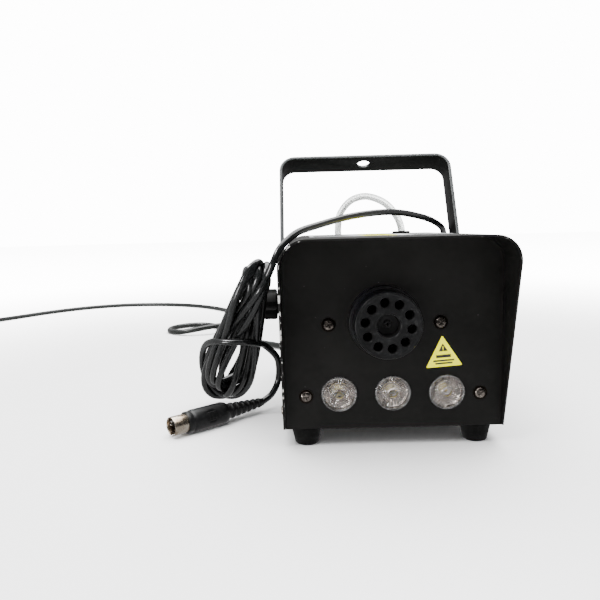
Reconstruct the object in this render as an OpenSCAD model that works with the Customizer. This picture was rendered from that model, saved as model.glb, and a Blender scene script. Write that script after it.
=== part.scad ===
// Small stage fog machine with three effect lights, a wired remote and a mains lead.
// X runs across the machine, Y from front to back, Z up. The origin is on the floor, under
// the middle of the machine and its remote handset.

/* [Case] */
// Outside width of the case
case_w = 140; // [130:1:150]
// Height of the case without its feet
case_h = 121; // [115:1:125]
// Length of the sides behind the front panel
side_l = 205; // [200:1:210]
// Length of the roof behind the front panel, up to the open tank bay
roof_l = 150; // [148:1:152]
// How far the hood reaches out over the front panel at the top
hood_top = 32; // [20:1:45]
// How far the hood reaches out at the bottom
hood_bottom = 1; // [0:0.5:4]
// Sheet metal thickness
sheet = 1.2; // [1:0.1:1.5]
// Outside radius of the two long folded corners
corner_r = 17; // [14:1:18]

/* [Feet] */
// Height of a rubber foot
foot_h = 12.5; // [11:0.5:14]
// Width of a foot where it meets the pan
foot_d = 21.4; // [20:0.1:23]
// Distance of the feet from the centre line
foot_x = 55; // [50:1:56]

/* [Nozzle] */
// Sideways place of the nozzle
nozzle_x = -5; // [-8:0.5:0]
// Height of the nozzle's axis
nozzle_z = 81; // [80:0.5:82]
// Diameter of the nozzle cap
nozzle_d = 40.5; // [38:0.5:42]
// How far the cap stands out of the front panel
nozzle_l = 20; // [18:0.5:22]
// Diameter of the fog outlet in the middle of the cap
mouth_d = 14; // [12:0.5:15]
// Diameter of each air hole around the outlet
air_hole_d = 5.8; // [4:0.1:6]
// Number of air holes
air_holes = 10; // [8:1:10]
// Diameter of the circle that the air holes lie on
air_pcd = 28; // [27:0.5:29]

/* [Lights] */
// Diameter of one lens at its rim
lens_d = 22.6; // [20:0.1:24]
// Distance from lens to lens
lens_pitch = 34; // [32:0.5:36]
// Height of the row of lenses
lens_z = 34.8; // [34:0.1:36]

/* [Handle] */
// Distance of the handle pivot behind the front panel
pivot_back = 104; // [100:1:108]
// Height of the handle pivot
pivot_z = 80; // [76:1:84]
// Distance from the pivot to the outside of the cross bar
handle_reach = 129.5; // [125:0.5:135]
// Width of the handle strip
strip_w = 22; // [20:1:24]
// Thickness of the handle strip
strip_t = 2.5; // [2:0.5:2.5]
// Backward tilt of the handle at rest, in degrees
handle_tilt = 26.5; // [20:0.5:28]
// Diameter of the hanging hole in the cross bar
hang_hole_d = 10.5; // [8:0.5:12]

/* [Tank] */
// Width of the fluid tank
tank_w = 100; // [90:1:104]
// Height of the tank body
tank_h = 56; // [50:1:56]
// Wall thickness of the tank
tank_wall = 1.8; // [1.5:0.1:2.5]

/* [Cords] */
// Diameter of the mains lead
mains_d = 6.8; // [6.5:0.1:7]
// Diameter of the remote's lead
remote_d = 5; // [4.5:0.1:5.2]

/* [Hidden] */
$fn = 64;

// Everything on the machine is drawn with Y counted from the front panel's face.
handset_w = 44;
handset_gap = 23;
rear_end = side_l + handset_gap + handset_w;
panel_y = -(rear_end - hood_top) / 2;

floor_z = foot_h;
roof_z = foot_h + case_h;
half_w = case_w / 2;
fit = 0.1;
inner_half = half_w - sheet - fit;
panel_t = 1.5;

lens_xs = [-lens_pitch, 0, lens_pitch];
front_screw_xz = [[nozzle_x - 35, 79.5], [nozzle_x + 35, 79.5], [-55, 33.8], [55, 33.8]];
cover_screw_ys = [18, 128, 196];
cover_screw_z = floor_z + 7;
foot_front_y = 11;
foot_rear_y = 190;

flange_t = 3;
flange_d = nozzle_d + 4.5;
pipe_r = 6;
boss_r = mouth_d / 2 + 2;
block_size = [60, 74, 48];
block_y = 26;
element_spread = 14;
element_r = 4;
element_z = nozzle_z - 11;

shelf_z = 62;
bulkhead_y = roof_l - 2;
tank_gap = 0.4;
tank_y = bulkhead_y + 1.2;
tank_d = side_l - sheet - tank_y - 0.8;
tank_base = shelf_z + 0.2;
neck_xy = [-22, tank_y + tank_d / 2 + 2];
neck_r = 12.9;
neck_h = 9;
cap_r = 16;
tube_r = 3;
roof_hole_xy = [29, 139];

pump_axis = [0, 125, 36];
plunger_r = 5;

board_x = 52;
board_low = [board_x, 34, 44];
board_high = [board_x + 1.6, 124, 112];

socket_x = 46;
rear_z = 37;
gland_x = -52;
gland_z = 30;
gland_end = side_l + 27;
switch_x = 4;

leg_out = 73;
handle_corner = 13;
bolt_r = 3;

handset_l = 96;
handset_h = 24;
handset_x = 18;
handset_y = (rear_end - handset_w / 2) + panel_y;
handset_skin = 2;
button_r = 7;
button_x = handset_x - 14;

// Routes of the leads, chosen points in the order they are met along the lead.
remote_route = [
    [84, 130, 12], [100, 129, 9.5], [113, 121, 5], [117, 108, 2.9], [109, 94, 2.9], [96, 84, 5],
    [84, 77, 15], [77.5, 72, 32], [75, 70, 52], [74.5, 69, 72], [74, 67, 90], [73.5, 61, 107],
    [73, 54, 118], [72, 45, 126.5], [69, 35, 132.5], [63.5, 23, 138.5], [51, 11, 144.5],
    [34, -3, 148.5], [16, -18, 150.5], [-4, -34, 149.5], [-24, -50, 146.5], [-44, -66, 141.5],
    [-57, -77, 137.5], [-65, -83, 132], [-70.5, -87, 126], [-74.5, -89, 118], [-79, -86, 108]
];
remote_tail = [
    [-89, -44, 8], [-82, -38, 12], [-77, -35, 21], [-75.5, -37, 32], [-77, -43, 43], [-85, -49, 53]
];
mains_route = [
    [-52, 112, 30], [-52, 132, 27], [-58, 154, 16], [-74, 178, 5.6], [-100, 206, 3.6],
    [-130, 236, 3.4], [-155, 264, 3.4], [-168, 290, 3.4], [-173, 315, 3.4], [-178, 336, 3.4],
    [-188, 352, 3.4], [-203, 361, 3.4], [-219, 361, 3.4], [-234, 352, 3.4], [-243, 337, 3.4],
    [-243, 319, 3.4], [-234, 304, 3.6], [-219, 295, 5], [-201, 294, 8], [-184, 298, 10.3],
    [-168, 308, 10.3], [-157, 326, 7], [-151, 352, 3.8], [-151, 400, 3.4], [-164, 458, 3.4],
    [-200, 524, 3.4], [-254, 578, 3.4], [-322, 610, 3.4], [-394, 614, 3.4], [-456, 588, 3.4],
    [-504, 540, 3.4], [-540, 484, 3.4], [-558, 440, 5], [-568, 404, 8]
];
plug_end = [-568, 404, 8];
plug_turn = -104;
plug_boot_l = 24;
plug_face = 50;

hank_base = [-115.5, -34.5, 31.5];
hank_turn = [26.8, 20, 0];
hank_reach = 88;
hank_top_r = 13;
hank_bottom_r = 27;
hank_t = 33;

din_tip = [-147.5, -96.5, 8];
din_turn = 41.9;
din_shell_l = 11;
din_grip_l = 34;
din_boot_end = 78.6;
din_r = 8;

// ---------- helpers ----------

module from_panel() {
    translate([0, panel_y, 0]) children();
}

// A cylinder along +Y from y0 to y1, at x and z.
module rod_y(r, y0, y1, x = 0, z = 0, r2 = undef) {
    translate([x, y0, z]) rotate([-90, 0, 0]) cylinder(h = y1 - y0, r1 = r, r2 = is_undef(r2) ? r : r2);
}

// A cylinder along +X from x0 to x1, at y and z.
module rod_x(r, x0, x1, y = 0, z = 0) {
    translate([x0, y, z]) rotate([0, 90, 0]) cylinder(h = x1 - x0, r = r);
}

// A block from its low corner to its high corner.
module block(low, high) {
    translate(low) cube(high - low);
}

// The case's section, seen from the front: square at the bottom, rounded at the top. The inner
// sections reach below the case, so that the hood stays open underneath.
module case_section(inset) {
    r = corner_r - inset;
    w = half_w - inset;
    top = roof_z - inset;
    low = inset > 0 ? floor_z - 1 : floor_z;
    translate([-w, low]) square([2 * w, top - r - low]);
    translate([-w + r, low]) square([2 * (w - r), top - low]);
    for (side = [-1, 1]) translate([side * (w - r), top - r]) circle(r = r);
}

module case_prism(inset, y0, y1) {
    translate([0, y1, 0]) rotate([90, 0, 0]) linear_extrude(y1 - y0) case_section(inset);
}

// A plan outline with round corners, made of exact arcs.
module round_rect(w, l, r) {
    square([w - 2 * r, l], center = true);
    square([w, l - 2 * r], center = true);
    for (x = [-1, 1], y = [-1, 1]) translate([x * (w / 2 - r), y * (l / 2 - r)]) circle(r = r);
}

// ---------- swept leads ----------

function unit(v) = v / norm(v);
function clamp_i(i, n) = max(0, min(n - 1, i));
function blend(a, b, c, d, t) =
    0.5 * (2 * b + (c - a) * t + (2 * a - 5 * b + 4 * c - d) * t * t + (3 * b - a - 3 * c + d) * t * t * t);
function smooth(p, steps) = concat(
    [for (i = [0 : len(p) - 2], s = [0 : steps - 1])
        blend(p[clamp_i(i - 1, len(p))], p[i], p[i + 1], p[clamp_i(i + 2, len(p))], s / steps)],
    [p[len(p) - 1]]
);
function tangents(q) = [for (i = [0 : len(q) - 1])
    unit(q[clamp_i(i + 1, len(q))] - q[clamp_i(i - 1, len(q))])];
function carried(ts, n, i = 0) = i >= len(ts) ? []
    : let (m = unit(n - (n * ts[i]) * ts[i])) concat([m], carried(ts, m, i + 1));

module lead(route, d, steps, sides) {
    q = smooth(route, steps);
    ts = tangents(q);
    ns = carried(ts, abs(ts[0][2]) > 0.9 ? [1, 0, 0] : [0, 0, 1]);
    rings = len(q);
    points = [for (i = [0 : rings - 1], k = [0 : sides - 1])
        q[i] + d / 2 * (cos(360 * k / sides) * ns[i] + sin(360 * k / sides) * cross(ts[i], ns[i]))];
    walls = [for (i = [0 : rings - 2], k = [0 : sides - 1], half = [0, 1])
        let (a = i * sides + k, b = i * sides + (k + 1) % sides)
        half == 0 ? [a, a + sides, b] : [b, a + sides, b + sides]];
    ends = [
        [for (k = [0 : sides - 1]) k],
        [for (k = [sides - 1 : -1 : 0]) (rings - 1) * sides + k]
    ];
    polyhedron(points = points, faces = concat(walls, ends));
}

// ---------- case ----------

module cover() {
    color("#1b1c20") from_panel() difference() {
        case_prism(0, -hood_top, side_l);
        case_prism(sheet, -hood_top - 1, side_l + 1);
        hood_slant();
        block([-half_w + 10, roof_l, roof_z - 6], [half_w - 10, side_l + 1, roof_z + 1]);
        translate([roof_hole_xy[0], roof_hole_xy[1], roof_z - 5]) cylinder(r = 5.5, h = 10);
        rod_x(bolt_r + 0.2, -half_w - 1, half_w + 1, pivot_back, pivot_z);
        for (y = cover_screw_ys) rod_x(1.7, -half_w - 1, half_w + 1, y, cover_screw_z);
        for (y = [24 : 8 : 72]) block([-half_w - 1, y, 52], [half_w + 1, y + 3, 80]);
    }
}

// What the sloping front edges of the hood leave out.
module hood_slant() {
    rotate([90, 0, 90]) translate([0, 0, -half_w - 1]) linear_extrude(case_w + 2) polygon([
        [-hood_top - 5, floor_z - 1], [-hood_bottom, floor_z - 1], [-hood_bottom, floor_z],
        [-hood_top, roof_z - sheet], [-hood_top - 5, roof_z - sheet]
    ]);
}

module chassis_pan() {
    color("#6d6f72") from_panel() difference() {
        union() {
            block([-inner_half, 0, floor_z], [inner_half, side_l, floor_z + sheet]);
            for (side = [0, 1]) mirror([side, 0, 0])
                block([inner_half - sheet, panel_t, floor_z], [inner_half, side_l - sheet, floor_z + 14]);
        }
        for (x = [-foot_x, foot_x], y = [foot_front_y, foot_rear_y])
            translate([x, y, 0]) cylinder(r = 2.2, h = floor_z + 5);
        for (y = cover_screw_ys) rod_x(1.6, -half_w, half_w, y, cover_screw_z);
    }
}

module front_panel() {
    color("#232429") from_panel() difference() {
        intersection() {
            case_prism(sheet + fit, 0, panel_t);
            block([-half_w, -1, floor_z + sheet], [half_w, panel_t + 1, roof_z]);
        }
        rod_y(pipe_r + 1, -1, panel_t + 1, nozzle_x, nozzle_z);
        for (x = lens_xs) rod_y(lens_d / 2 + fit, -1, panel_t + 1, x, lens_z);
        for (p = front_screw_xz) rod_y(1.7, -1, panel_t + 1, p[0], p[1]);
    }
}

// One folded sheet: bulkhead, tank shelf, rear wall and the low lip that keeps the tank in.
module rear_panel() {
    wall_y = side_l - sheet;
    color("#202126") from_panel() difference() {
        intersection() {
            case_prism(sheet + fit, 0, side_l + 1);
            union() {
                block([-half_w, bulkhead_y - sheet, shelf_z - sheet], [half_w, bulkhead_y, roof_z]);
                block([-half_w, bulkhead_y - sheet, shelf_z - sheet], [half_w, side_l, shelf_z]);
                block([-half_w, wall_y, floor_z + sheet], [half_w, side_l, shelf_z + 14]);
            }
        }
        rod_y(6.2, wall_y - 1, side_l + 1, gland_x, gland_z);
        rod_y(8.3, wall_y - 1, side_l + 1, socket_x, rear_z);
        block([switch_x - 9.7, wall_y - 1, rear_z - 6.7], [switch_x + 9.7, side_l + 1, rear_z + 6.7]);
    }
}

// ---------- nozzle ----------

module nozzle_cap() {
    r = nozzle_d / 2;
    back = -flange_t;
    color("#3c3d40") from_panel() difference() {
        translate([nozzle_x, back, nozzle_z]) rotate([90, 0, 0]) rotate_extrude($fn = 96) polygon([
            [0, 0], [r, 0], [r, nozzle_l - flange_t - 1.8], [r - 1.8, nozzle_l - flange_t],
            [0, nozzle_l - flange_t]
        ]);
        rod_y(mouth_d / 2, -nozzle_l - 1, -nozzle_l + 8.5, nozzle_x, nozzle_z);
        rod_y(1.5, -nozzle_l, back + 1, nozzle_x, nozzle_z);
        rod_y(pipe_r + 0.05, back - 6, back + 1, nozzle_x, nozzle_z);
        translate([nozzle_x, back + 1, nozzle_z]) rotate([90, 0, 0]) difference() {
            cylinder(r = r - 2, h = 10);
            translate([0, 0, -1]) cylinder(r = boss_r, h = 12);
        }
        for (k = [0 : air_holes - 1]) {
            a = 99 + 360 * k / air_holes;
            rod_y(air_hole_d / 2, -nozzle_l - 1, back, nozzle_x + air_pcd / 2 * cos(a),
                  nozzle_z + air_pcd / 2 * sin(a));
        }
    }
}

module nozzle_base() {
    color("#26272a") from_panel() difference() {
        rod_y(flange_d / 2, -flange_t, 0, nozzle_x, nozzle_z);
        rod_y(pipe_r + 0.05, -flange_t - 1, 1, nozzle_x, nozzle_z);
    }
}

module outlet_pipe() {
    color("#b08d3f") from_panel() difference() {
        rod_y(pipe_r, -flange_t - 6, block_y, nozzle_x, nozzle_z);
        rod_y(1.5, -flange_t - 7, block_y + 1, nozzle_x, nozzle_z);
    }
}

// ---------- heater ----------

module heater_block() {
    color("#a9abad") from_panel() difference() {
        translate([nozzle_x - block_size[0] / 2, block_y, nozzle_z - block_size[2] / 2]) cube(block_size);
        for (side = [-1, 1])
            rod_y(element_r + 0.05, block_y + 8, block_y + 80, nozzle_x + side * element_spread, element_z);
        rod_y(1.5, block_y - 1, block_y + block_size[1] - 10, nozzle_x, nozzle_z);
        rod_y(3.05, block_y + block_size[1] - 10, block_y + block_size[1] + 1, nozzle_x, nozzle_z);
    }
}

module heating_element() {
    color("#8b8378") from_panel() for (side = [-1, 1]) {
        x = nozzle_x + side * element_spread;
        rod_y(element_r, block_y + 8, block_y + block_size[1] + 12, x, element_z);
        rod_y(1.2, block_y + block_size[1] + 12, block_y + block_size[1] + 20, x, element_z);
    }
}

module heater_jacket() {
    wool = 7;
    gap = 0.5;
    half = [block_size[0] / 2 + gap, 0, block_size[2] / 2 + gap];
    color("#d8d2c0") from_panel() translate([nozzle_x, block_y + 6, nozzle_z]) difference() {
        block([-half[0] - wool, 0, -half[2] - wool], [half[0] + wool, block_size[1] - 12, half[2] + wool]);
        block([-half[0], -1, -half[2]], [half[0], block_size[1], half[2]]);
    }
}

module heater_brackets() {
    top = nozzle_z - block_size[2] / 2;
    color("#9a9c9e") from_panel() for (y = [block_y + 1, block_y + block_size[1] - 3]) {
        block([nozzle_x - 22, y, floor_z + sheet], [nozzle_x + 22, y + 2, top]);
        block([nozzle_x - 22, y, floor_z + sheet], [nozzle_x + 22, y + 12, floor_z + sheet + 2]);
    }
}

module thermostat() {
    y = block_y + block_size[1];
    color("#2c2c2c") from_panel() union() {
        rod_y(8, y, y + 7, nozzle_x - 10, nozzle_z + 13);
        for (side = [-1, 1]) block([nozzle_x - 10 + side * 4 - 1, y + 7, nozzle_z + 10],
                                   [nozzle_x - 10 + side * 4 + 1, y + 15, nozzle_z + 16]);
    }
}

module thermal_fuse() {
    y = block_y + block_size[1];
    color("#c9c4b4") from_panel() rod_x(2, nozzle_x + 4, nozzle_x + 18, y + 2, nozzle_z + 14);
}

// ---------- pump and fluid path ----------

module pump_body() {
    p = pump_axis;
    color("#c8b27a") from_panel() difference() {
        union() {
            block([p[0] - 48, p[1] - 15, p[2] - 15], [p[0] - 8, p[1] + 15, p[2] + 15]);
            rod_x(9, p[0] - 60, p[0] + 18, p[1], p[2]);
            rod_x(tube_r - 1, p[0] - 65, p[0] - 60, p[1], p[2]);
            rod_x(tube_r - 1, p[0] + 18, p[0] + 26, p[1], p[2]);
        }
        rod_x(plunger_r + 0.08, p[0] - 50, p[0] + 6, p[1], p[2]);
        rod_x(1, p[0] - 66, p[0] + 27, p[1], p[2]);
    }
}

module pump_plunger() {
    p = pump_axis;
    color("#b9bbbd") from_panel() difference() {
        rod_x(plunger_r, p[0] - 44, p[0], p[1], p[2]);
        rod_x(1.2, p[0] - 45, p[0] + 1, p[1], p[2]);
    }
}

module pump_bracket() {
    p = pump_axis;
    color("#9a9c9e") from_panel() union() {
        block([p[0] - 50, p[1] - 14, floor_z + sheet], [p[0] - 6, p[1] + 20, floor_z + sheet + 2]);
        block([p[0] - 46, p[1] - 12, floor_z + sheet + 2], [p[0] - 10, p[1] + 12, p[2] - 15]);
    }
}

module delivery_tube() {
    p = pump_axis;
    y = block_y + block_size[1];
    color("#e6e4dc") from_panel() union() {
        lead([[p[0] - 64.5, p[1], p[2]], [p[0] - 65, p[1] - 4, p[2] + 12], [p[0] - 58, p[1] - 4, p[2] + 34],
              [p[0] - 36, p[1] - 4, p[2] + 46], [nozzle_x - 8, y + 20, nozzle_z + 2],
              [nozzle_x, y + 12, nozzle_z], [nozzle_x, y, nozzle_z]], 4, 3, 10);
    }
}

module feed_tube() {
    p = pump_axis;
    n = neck_xy;
    h = roof_hole_xy;
    color("#dfe3e2") from_panel() lead([
        [n[0], n[1], tank_base + 12], [n[0], n[1], 100], [n[0], n[1], 118], [n[0], n[1], 130],
        [n[0], n[1], 140], [n[0] + 2, n[1] - 2, 152], [n[0] + 11, n[1] - 9, 163], [n[0] + 24, n[1] - 19, 166],
        [h[0] - 13, h[1] + 10, 160], [h[0] - 4, h[1] + 3, 149], [h[0], h[1], 138], [h[0], h[1], 128],
        [h[0], h[1], 110], [h[0] + 5, h[1] - 3, 80], [h[0] + 10, h[1] - 10, 54],
        [h[0] + 8, p[1], 40], [p[0] + 26, p[1], p[2]]
    ], 2 * tube_r, 3, 12);
}

module tube_grommet() {
    color("#17181a") from_panel() translate([roof_hole_xy[0], roof_hole_xy[1], roof_z - 3]) difference() {
        union() {
            cylinder(r = 5.3, h = 4.5);
            translate([0, 0, 3]) cylinder(r = 7.5, h = 1.8);
        }
        translate([0, 0, -1]) cylinder(r = tube_r + 0.2, h = 8);
    }
}

module suction_filter() {
    color("#8d9092") from_panel() translate([neck_xy[0], neck_xy[1], tank_base + tank_wall + 0.4])
        cylinder(r = 5, h = 12 - tank_wall - 0.4);
}

// The tank is made in one piece; its neck is open at the top and its foot is flat.
module tank() {
    w = tank_w - 2 * tank_wall;
    d = tank_d - 2 * tank_wall;
    color([0.92, 0.93, 0.9, 0.7]) from_panel() difference() {
        union() {
            translate([0, tank_y + tank_d / 2, tank_base]) linear_extrude(tank_h) round_rect(tank_w, tank_d, 8);
            translate([neck_xy[0], neck_xy[1], tank_base + tank_h - 1]) cylinder(r = neck_r, h = neck_h + 1);
        }
        translate([0, tank_y + tank_d / 2, tank_base + tank_wall])
            linear_extrude(tank_h - 2 * tank_wall) round_rect(w, d, 8 - tank_wall);
        translate([neck_xy[0], neck_xy[1], tank_base + tank_h - 4]) cylinder(r = neck_r - 1.6, h = neck_h + 6);
    }
}

module tank_cap() {
    z0 = tank_base + tank_h + 1;
    top = tank_base + tank_h + neck_h + 0.3;
    color("#17181a") from_panel() translate([neck_xy[0], neck_xy[1], 0]) difference() {
        union() {
            translate([0, 0, z0]) cylinder(r = cap_r - 0.8, h = top - z0 + 2);
            for (k = [0 : 15]) rotate(k * 22.5) translate([cap_r - 1.2, 0, z0]) cylinder(r = 1.2, h = top - z0, $fn = 16);
        }
        translate([0, 0, z0 - 1]) cylinder(r = neck_r + 0.1, h = top - z0 + 1);
        cylinder(r = tube_r + 0.3, h = roof_z + 10);
    }
}

// ---------- electronics ----------

module control_board() {
    color("#1d5a34") from_panel() difference() {
        block(board_low, board_high);
        for (y = [38, 120], z = [48, 108]) rod_x(1.6, board_x - 1, board_x + 3, y, z);
    }
}

module board_relay() {
    color("#1f4f8f") from_panel() block([board_x - 15, 44, 84], [board_x, 63, 99]);
}

module board_transformer() {
    color("#d1b23a") from_panel() union() {
        block([board_x - 16, 76, 56], [board_x, 104, 78]);
        block([board_x - 14, 70, 60], [board_x - 2, 110, 74]);
    }
}

module board_standoffs() {
    color("#c9c9c4") from_panel() for (y = [38, 120], z = [48, 108])
        rod_x(3, board_x + 1.6, inner_half, y, z);
}

module led_board() {
    y = panel_t + 11.5;
    color("#dfe0e0") from_panel() union() {
        block([-lens_pitch - 14, y, lens_z - 13], [lens_pitch + 14, y + 2, lens_z + 13]);
        for (x = lens_xs) rod_y(2.6, y - 1.4, y, x, lens_z);
    }
}

module led_holders() {
    y = panel_t + 0.1;
    color("#b9bcc0") from_panel() for (x = lens_xs) difference() {
        rod_y(13.2, y, y + 11.2, x, lens_z);
        rod_y(lens_d / 2 + 0.15, y - 1, y + 9.8, x, lens_z);
        rod_y(4, y, y + 12, x, lens_z);
    }
}

// A moulded lens: rim, cone of facets and a small dome in the middle.
module lens(x) {
    r = lens_d / 2;
    color([0.85, 0.86, 0.86, 0.55]) from_panel() translate([x, panel_t + 9.4, lens_z]) rotate([90, 0, 0])
        rotate_extrude() polygon([
            [0, 1.5], [3.4, 0], [5, 0], [r, 8.6], [r, 11.9], [r - 1.2, 11.9], [r - 1.6, 10.6],
            [4, 10.2], [3, 11.2], [0, 11.8]
        ]);
}

module lens_left() {
    lens(-lens_pitch);
}

module lens_middle() {
    lens(0);
}

module lens_right() {
    lens(lens_pitch);
}

// ---------- rear fittings ----------

module remote_socket() {
    y = side_l;
    color("#26272b") from_panel() difference() {
        union() {
            rod_y(11.5, y, y + 1.6, socket_x, rear_z);
            rod_y(8.2, y - 14, y + 4, socket_x, rear_z);
        }
        rod_y(6.8, y - 5, y + 5, socket_x, rear_z);
        for (k = [-2 : 2]) rod_y(0.9, y - 11, y, socket_x + 3.6 * sin(k * 45), rear_z + 3.6 * cos(k * 45));
    }
}

module cord_gland() {
    y = side_l;
    color("#1a1b1d") from_panel() union() {
        rod_y(6.1, y - 7, y + 1, gland_x, gland_z);
        rod_y(9.5, y, y + 4, gland_x, gland_z);
        rod_y(6.6, y + 4, gland_end, gland_x, gland_z, mains_d / 2 + 0.7);
        for (k = [0 : 3]) rod_y(6.9 - 0.5 * k, y + 6.5 + 5 * k, y + 9 + 5 * k, gland_x, gland_z);
        rod_y(8.4, y - 6, y - sheet, gland_x, gland_z);
    }
}

module switch_body() {
    y = side_l;
    color("#1d1e20") from_panel() difference() {
        union() {
            block([switch_x - 11.5, y, rear_z - 8.5], [switch_x + 11.5, y + 1.8, rear_z + 8.5]);
            block([switch_x - 9.6, y - 14, rear_z - 6.6], [switch_x + 9.6, y, rear_z + 6.6]);
        }
        block([switch_x - 8, y - 5.5, rear_z - 5], [switch_x + 8, y + 2, rear_z + 5]);
    }
}

// The rocker turns about a pin along Z; its two wings stand out by turns.
module switch_rocker() {
    y = side_l;
    color("#a31f1b") from_panel() translate([switch_x, y - 1.2, rear_z]) rotate([0, 0, 8]) union() {
        block([-7.4, 0, -4.7], [7.4, 2.8, 4.7]);
        translate([0, 0, -4.7]) cylinder(r = 2.4, h = 9.4);
    }
}

// ---------- handle ----------

module handle_at_rest() {
    translate([0, pivot_back, pivot_z]) rotate([-handle_tilt, 0, 0]) children();
}

module handle() {
    inner = handle_corner - strip_t;
    end_r = strip_w / 2;
    color("#1d1e21") from_panel() handle_at_rest() difference() {
        intersection() {
            translate([0, strip_w / 2, 0]) rotate([90, 0, 0]) linear_extrude(strip_w) difference() {
                handle_outline(leg_out, handle_reach, handle_corner);
                handle_outline(leg_out - strip_t, handle_reach - strip_t, inner);
            }
            union() {
                block([-leg_out - 1, -end_r, 0], [leg_out + 1, end_r, handle_reach + 1]);
                rod_x(end_r, -leg_out - 1, leg_out + 1);
            }
        }
        rod_x(bolt_r + 0.1, -leg_out - 1, leg_out + 1);
        translate([0, 0, handle_reach - 5]) cylinder(r = hang_hole_d / 2, h = 10);
    }
}

// Front outline of the handle: legs that start below the pivot, round shoulders.
module handle_outline(half, top, r) {
    translate([-half, -20]) square([2 * half, top - r + 20]);
    translate([-half + r, -20]) square([2 * (half - r), top + 20]);
    for (side = [-1, 1]) translate([side * (half - r), top - r]) circle(r = r);
}

module knob(side) {
    out = leg_out + 0.15;
    color("#141517") from_panel() mirror([side < 0 ? 1 : 0, 0, 0]) union() {
        rod_x(bolt_r, 60, out + 2, pivot_back, pivot_z);
        rod_x(8, out, out + 3, pivot_back, pivot_z);
        rod_x(10, out + 3, out + 15, pivot_back, pivot_z);
        for (k = [0 : 5]) rod_x(2.6, out + 4, out + 14, pivot_back + 9.6 * cos(60 * k), pivot_z + 9.6 * sin(60 * k));
    }
}

module knob_left() {
    knob(-1);
}

module knob_right() {
    knob(1);
}

module handle_washers() {
    color("#0f1011") from_panel() for (side = [0, 1]) mirror([side, 0, 0]) difference() {
        rod_x(9, half_w + 0.02, leg_out - strip_t - 0.05, pivot_back, pivot_z);
        rod_x(bolt_r + 0.15, half_w - 1, leg_out, pivot_back, pivot_z);
    }
}

module pivot_nuts() {
    color("#b5b7b9") from_panel() for (side = [0, 1]) mirror([side, 0, 0]) difference() {
        translate([inner_half - 5, pivot_back, pivot_z]) rotate([0, 90, 0]) cylinder(r = 6, h = 5, $fn = 6);
        rod_x(bolt_r + 0.08, inner_half - 6, half_w, pivot_back, pivot_z);
    }
}

// ---------- feet and fasteners ----------

module foot(x, y) {
    top_r = foot_d / 2;
    low_r = top_r - 2.7;
    color("#101112") from_panel() translate([x, y, 0]) difference() {
        rotate_extrude() polygon([
            [0, 0], [low_r - 2, 0], [low_r - 0.6, 0.6], [low_r, 2], [top_r - 0.6, foot_h - 1.5],
            [top_r - 0.8, foot_h - 0.4], [top_r - 1.4, foot_h], [0, foot_h]
        ]);
        translate([0, 0, -1]) cylinder(r = 4.4, h = 6);
        cylinder(r = 2.1, h = foot_h + 1);
    }
}

module foot_front_left() {
    foot(-foot_x, foot_front_y);
}

module foot_front_right() {
    foot(foot_x, foot_front_y);
}

module foot_rear_left() {
    foot(-foot_x, foot_rear_y);
}

module foot_rear_right() {
    foot(foot_x, foot_rear_y);
}

module foot_screws() {
    color("#8f9193") from_panel() for (x = [-foot_x, foot_x], y = [foot_front_y, foot_rear_y])
        translate([x, y, 0]) union() {
            translate([0, 0, 2.4]) cylinder(r = 4, h = 2.6);
            translate([0, 0, 4]) cylinder(r = 2, h = floor_z + sheet);
        }
}

// Pan heads with a cross recess; the head's back lies on the panel.
module front_screws() {
    head_r = 3.4;
    head_h = 1.8;
    color("#8a857e") from_panel() for (p = front_screw_xz) translate([p[0], 0, p[1]]) rotate([90, 20, 0])
        difference() {
            union() {
                translate([0, 0, -9]) cylinder(r = 1.5, h = 10);
                rotate_extrude($fn = 40) polygon([[0, 0], [head_r, 0], [head_r, 0.7], [2.4, 1.6], [0, head_h]]);
            }
            for (a = [0, 90]) rotate(a) translate([-1.9, -0.35, head_h - 1]) cube([3.8, 0.7, 2]);
        }
}

module cover_screws() {
    color("#8a857e") from_panel() for (side = [0, 1], y = cover_screw_ys) mirror([side, 0, 0]) union() {
        rod_x(3.2, half_w, half_w + 1.6, y, cover_screw_z);
        rod_x(1.5, half_w - 8, half_w + 1, y, cover_screw_z);
    }
}

// ---------- labels ----------

module caution_label() {
    side = 23;
    color("#d9a514") from_panel() translate([31.8, -0.02, 57.8]) rotate([90, -4, 0]) linear_extrude(0.25)
        polygon([for (k = [0 : 2]) side / sqrt(3) * [cos(90 + 120 * k), sin(90 + 120 * k)]]);
}

module top_label() {
    color("#d8d8d2") from_panel() translate([-2, 62, roof_z + 0.02]) linear_extrude(0.25)
        round_rect(96, 66, 3);
}

// ---------- remote handset ----------

module handset_outline(inset) {
    round_rect(handset_l - 2 * inset, handset_w - 2 * inset, 9 - inset);
}

module handset_lower() {
    color("#1b1c1e") translate([handset_x, handset_y, 0]) difference() {
        union() {
            linear_extrude(handset_h / 2) handset_outline(0);
            translate([handset_l / 2 - 1, 0, handset_h / 2]) rotate([0, 90, 0])
                cylinder(r1 = 5, r2 = 3.2, h = 19);
        }
        translate([0, 0, handset_skin]) linear_extrude(handset_h) handset_outline(handset_skin);
        block([-handset_l / 2, -10, handset_h / 2], [handset_l / 2 + 0.05, 10, handset_h]);
    }
}

module handset_upper() {
    color("#212225") translate([handset_x, handset_y, 0]) difference() {
        translate([0, 0, handset_h / 2]) linear_extrude(handset_h / 2) handset_outline(0);
        translate([0, 0, handset_h / 2 - 1]) linear_extrude(handset_h / 2 + 1 - handset_skin)
            handset_outline(handset_skin);
        translate([button_x - handset_x, 0, 0]) cylinder(r = button_r + 0.15, h = handset_h + 1);
        translate([20, 0, 0]) cylinder(r = 2.6, h = handset_h + 1);
    }
}

module handset_button() {
    color("#b8231d") translate([button_x, handset_y, handset_h]) union() {
        translate([0, 0, -handset_skin - 0.4]) cylinder(r = button_r, h = handset_skin + 3);
        translate([0, 0, -handset_skin - 1.6]) cylinder(r = button_r + 1.4, h = 1.2);
    }
}

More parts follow.
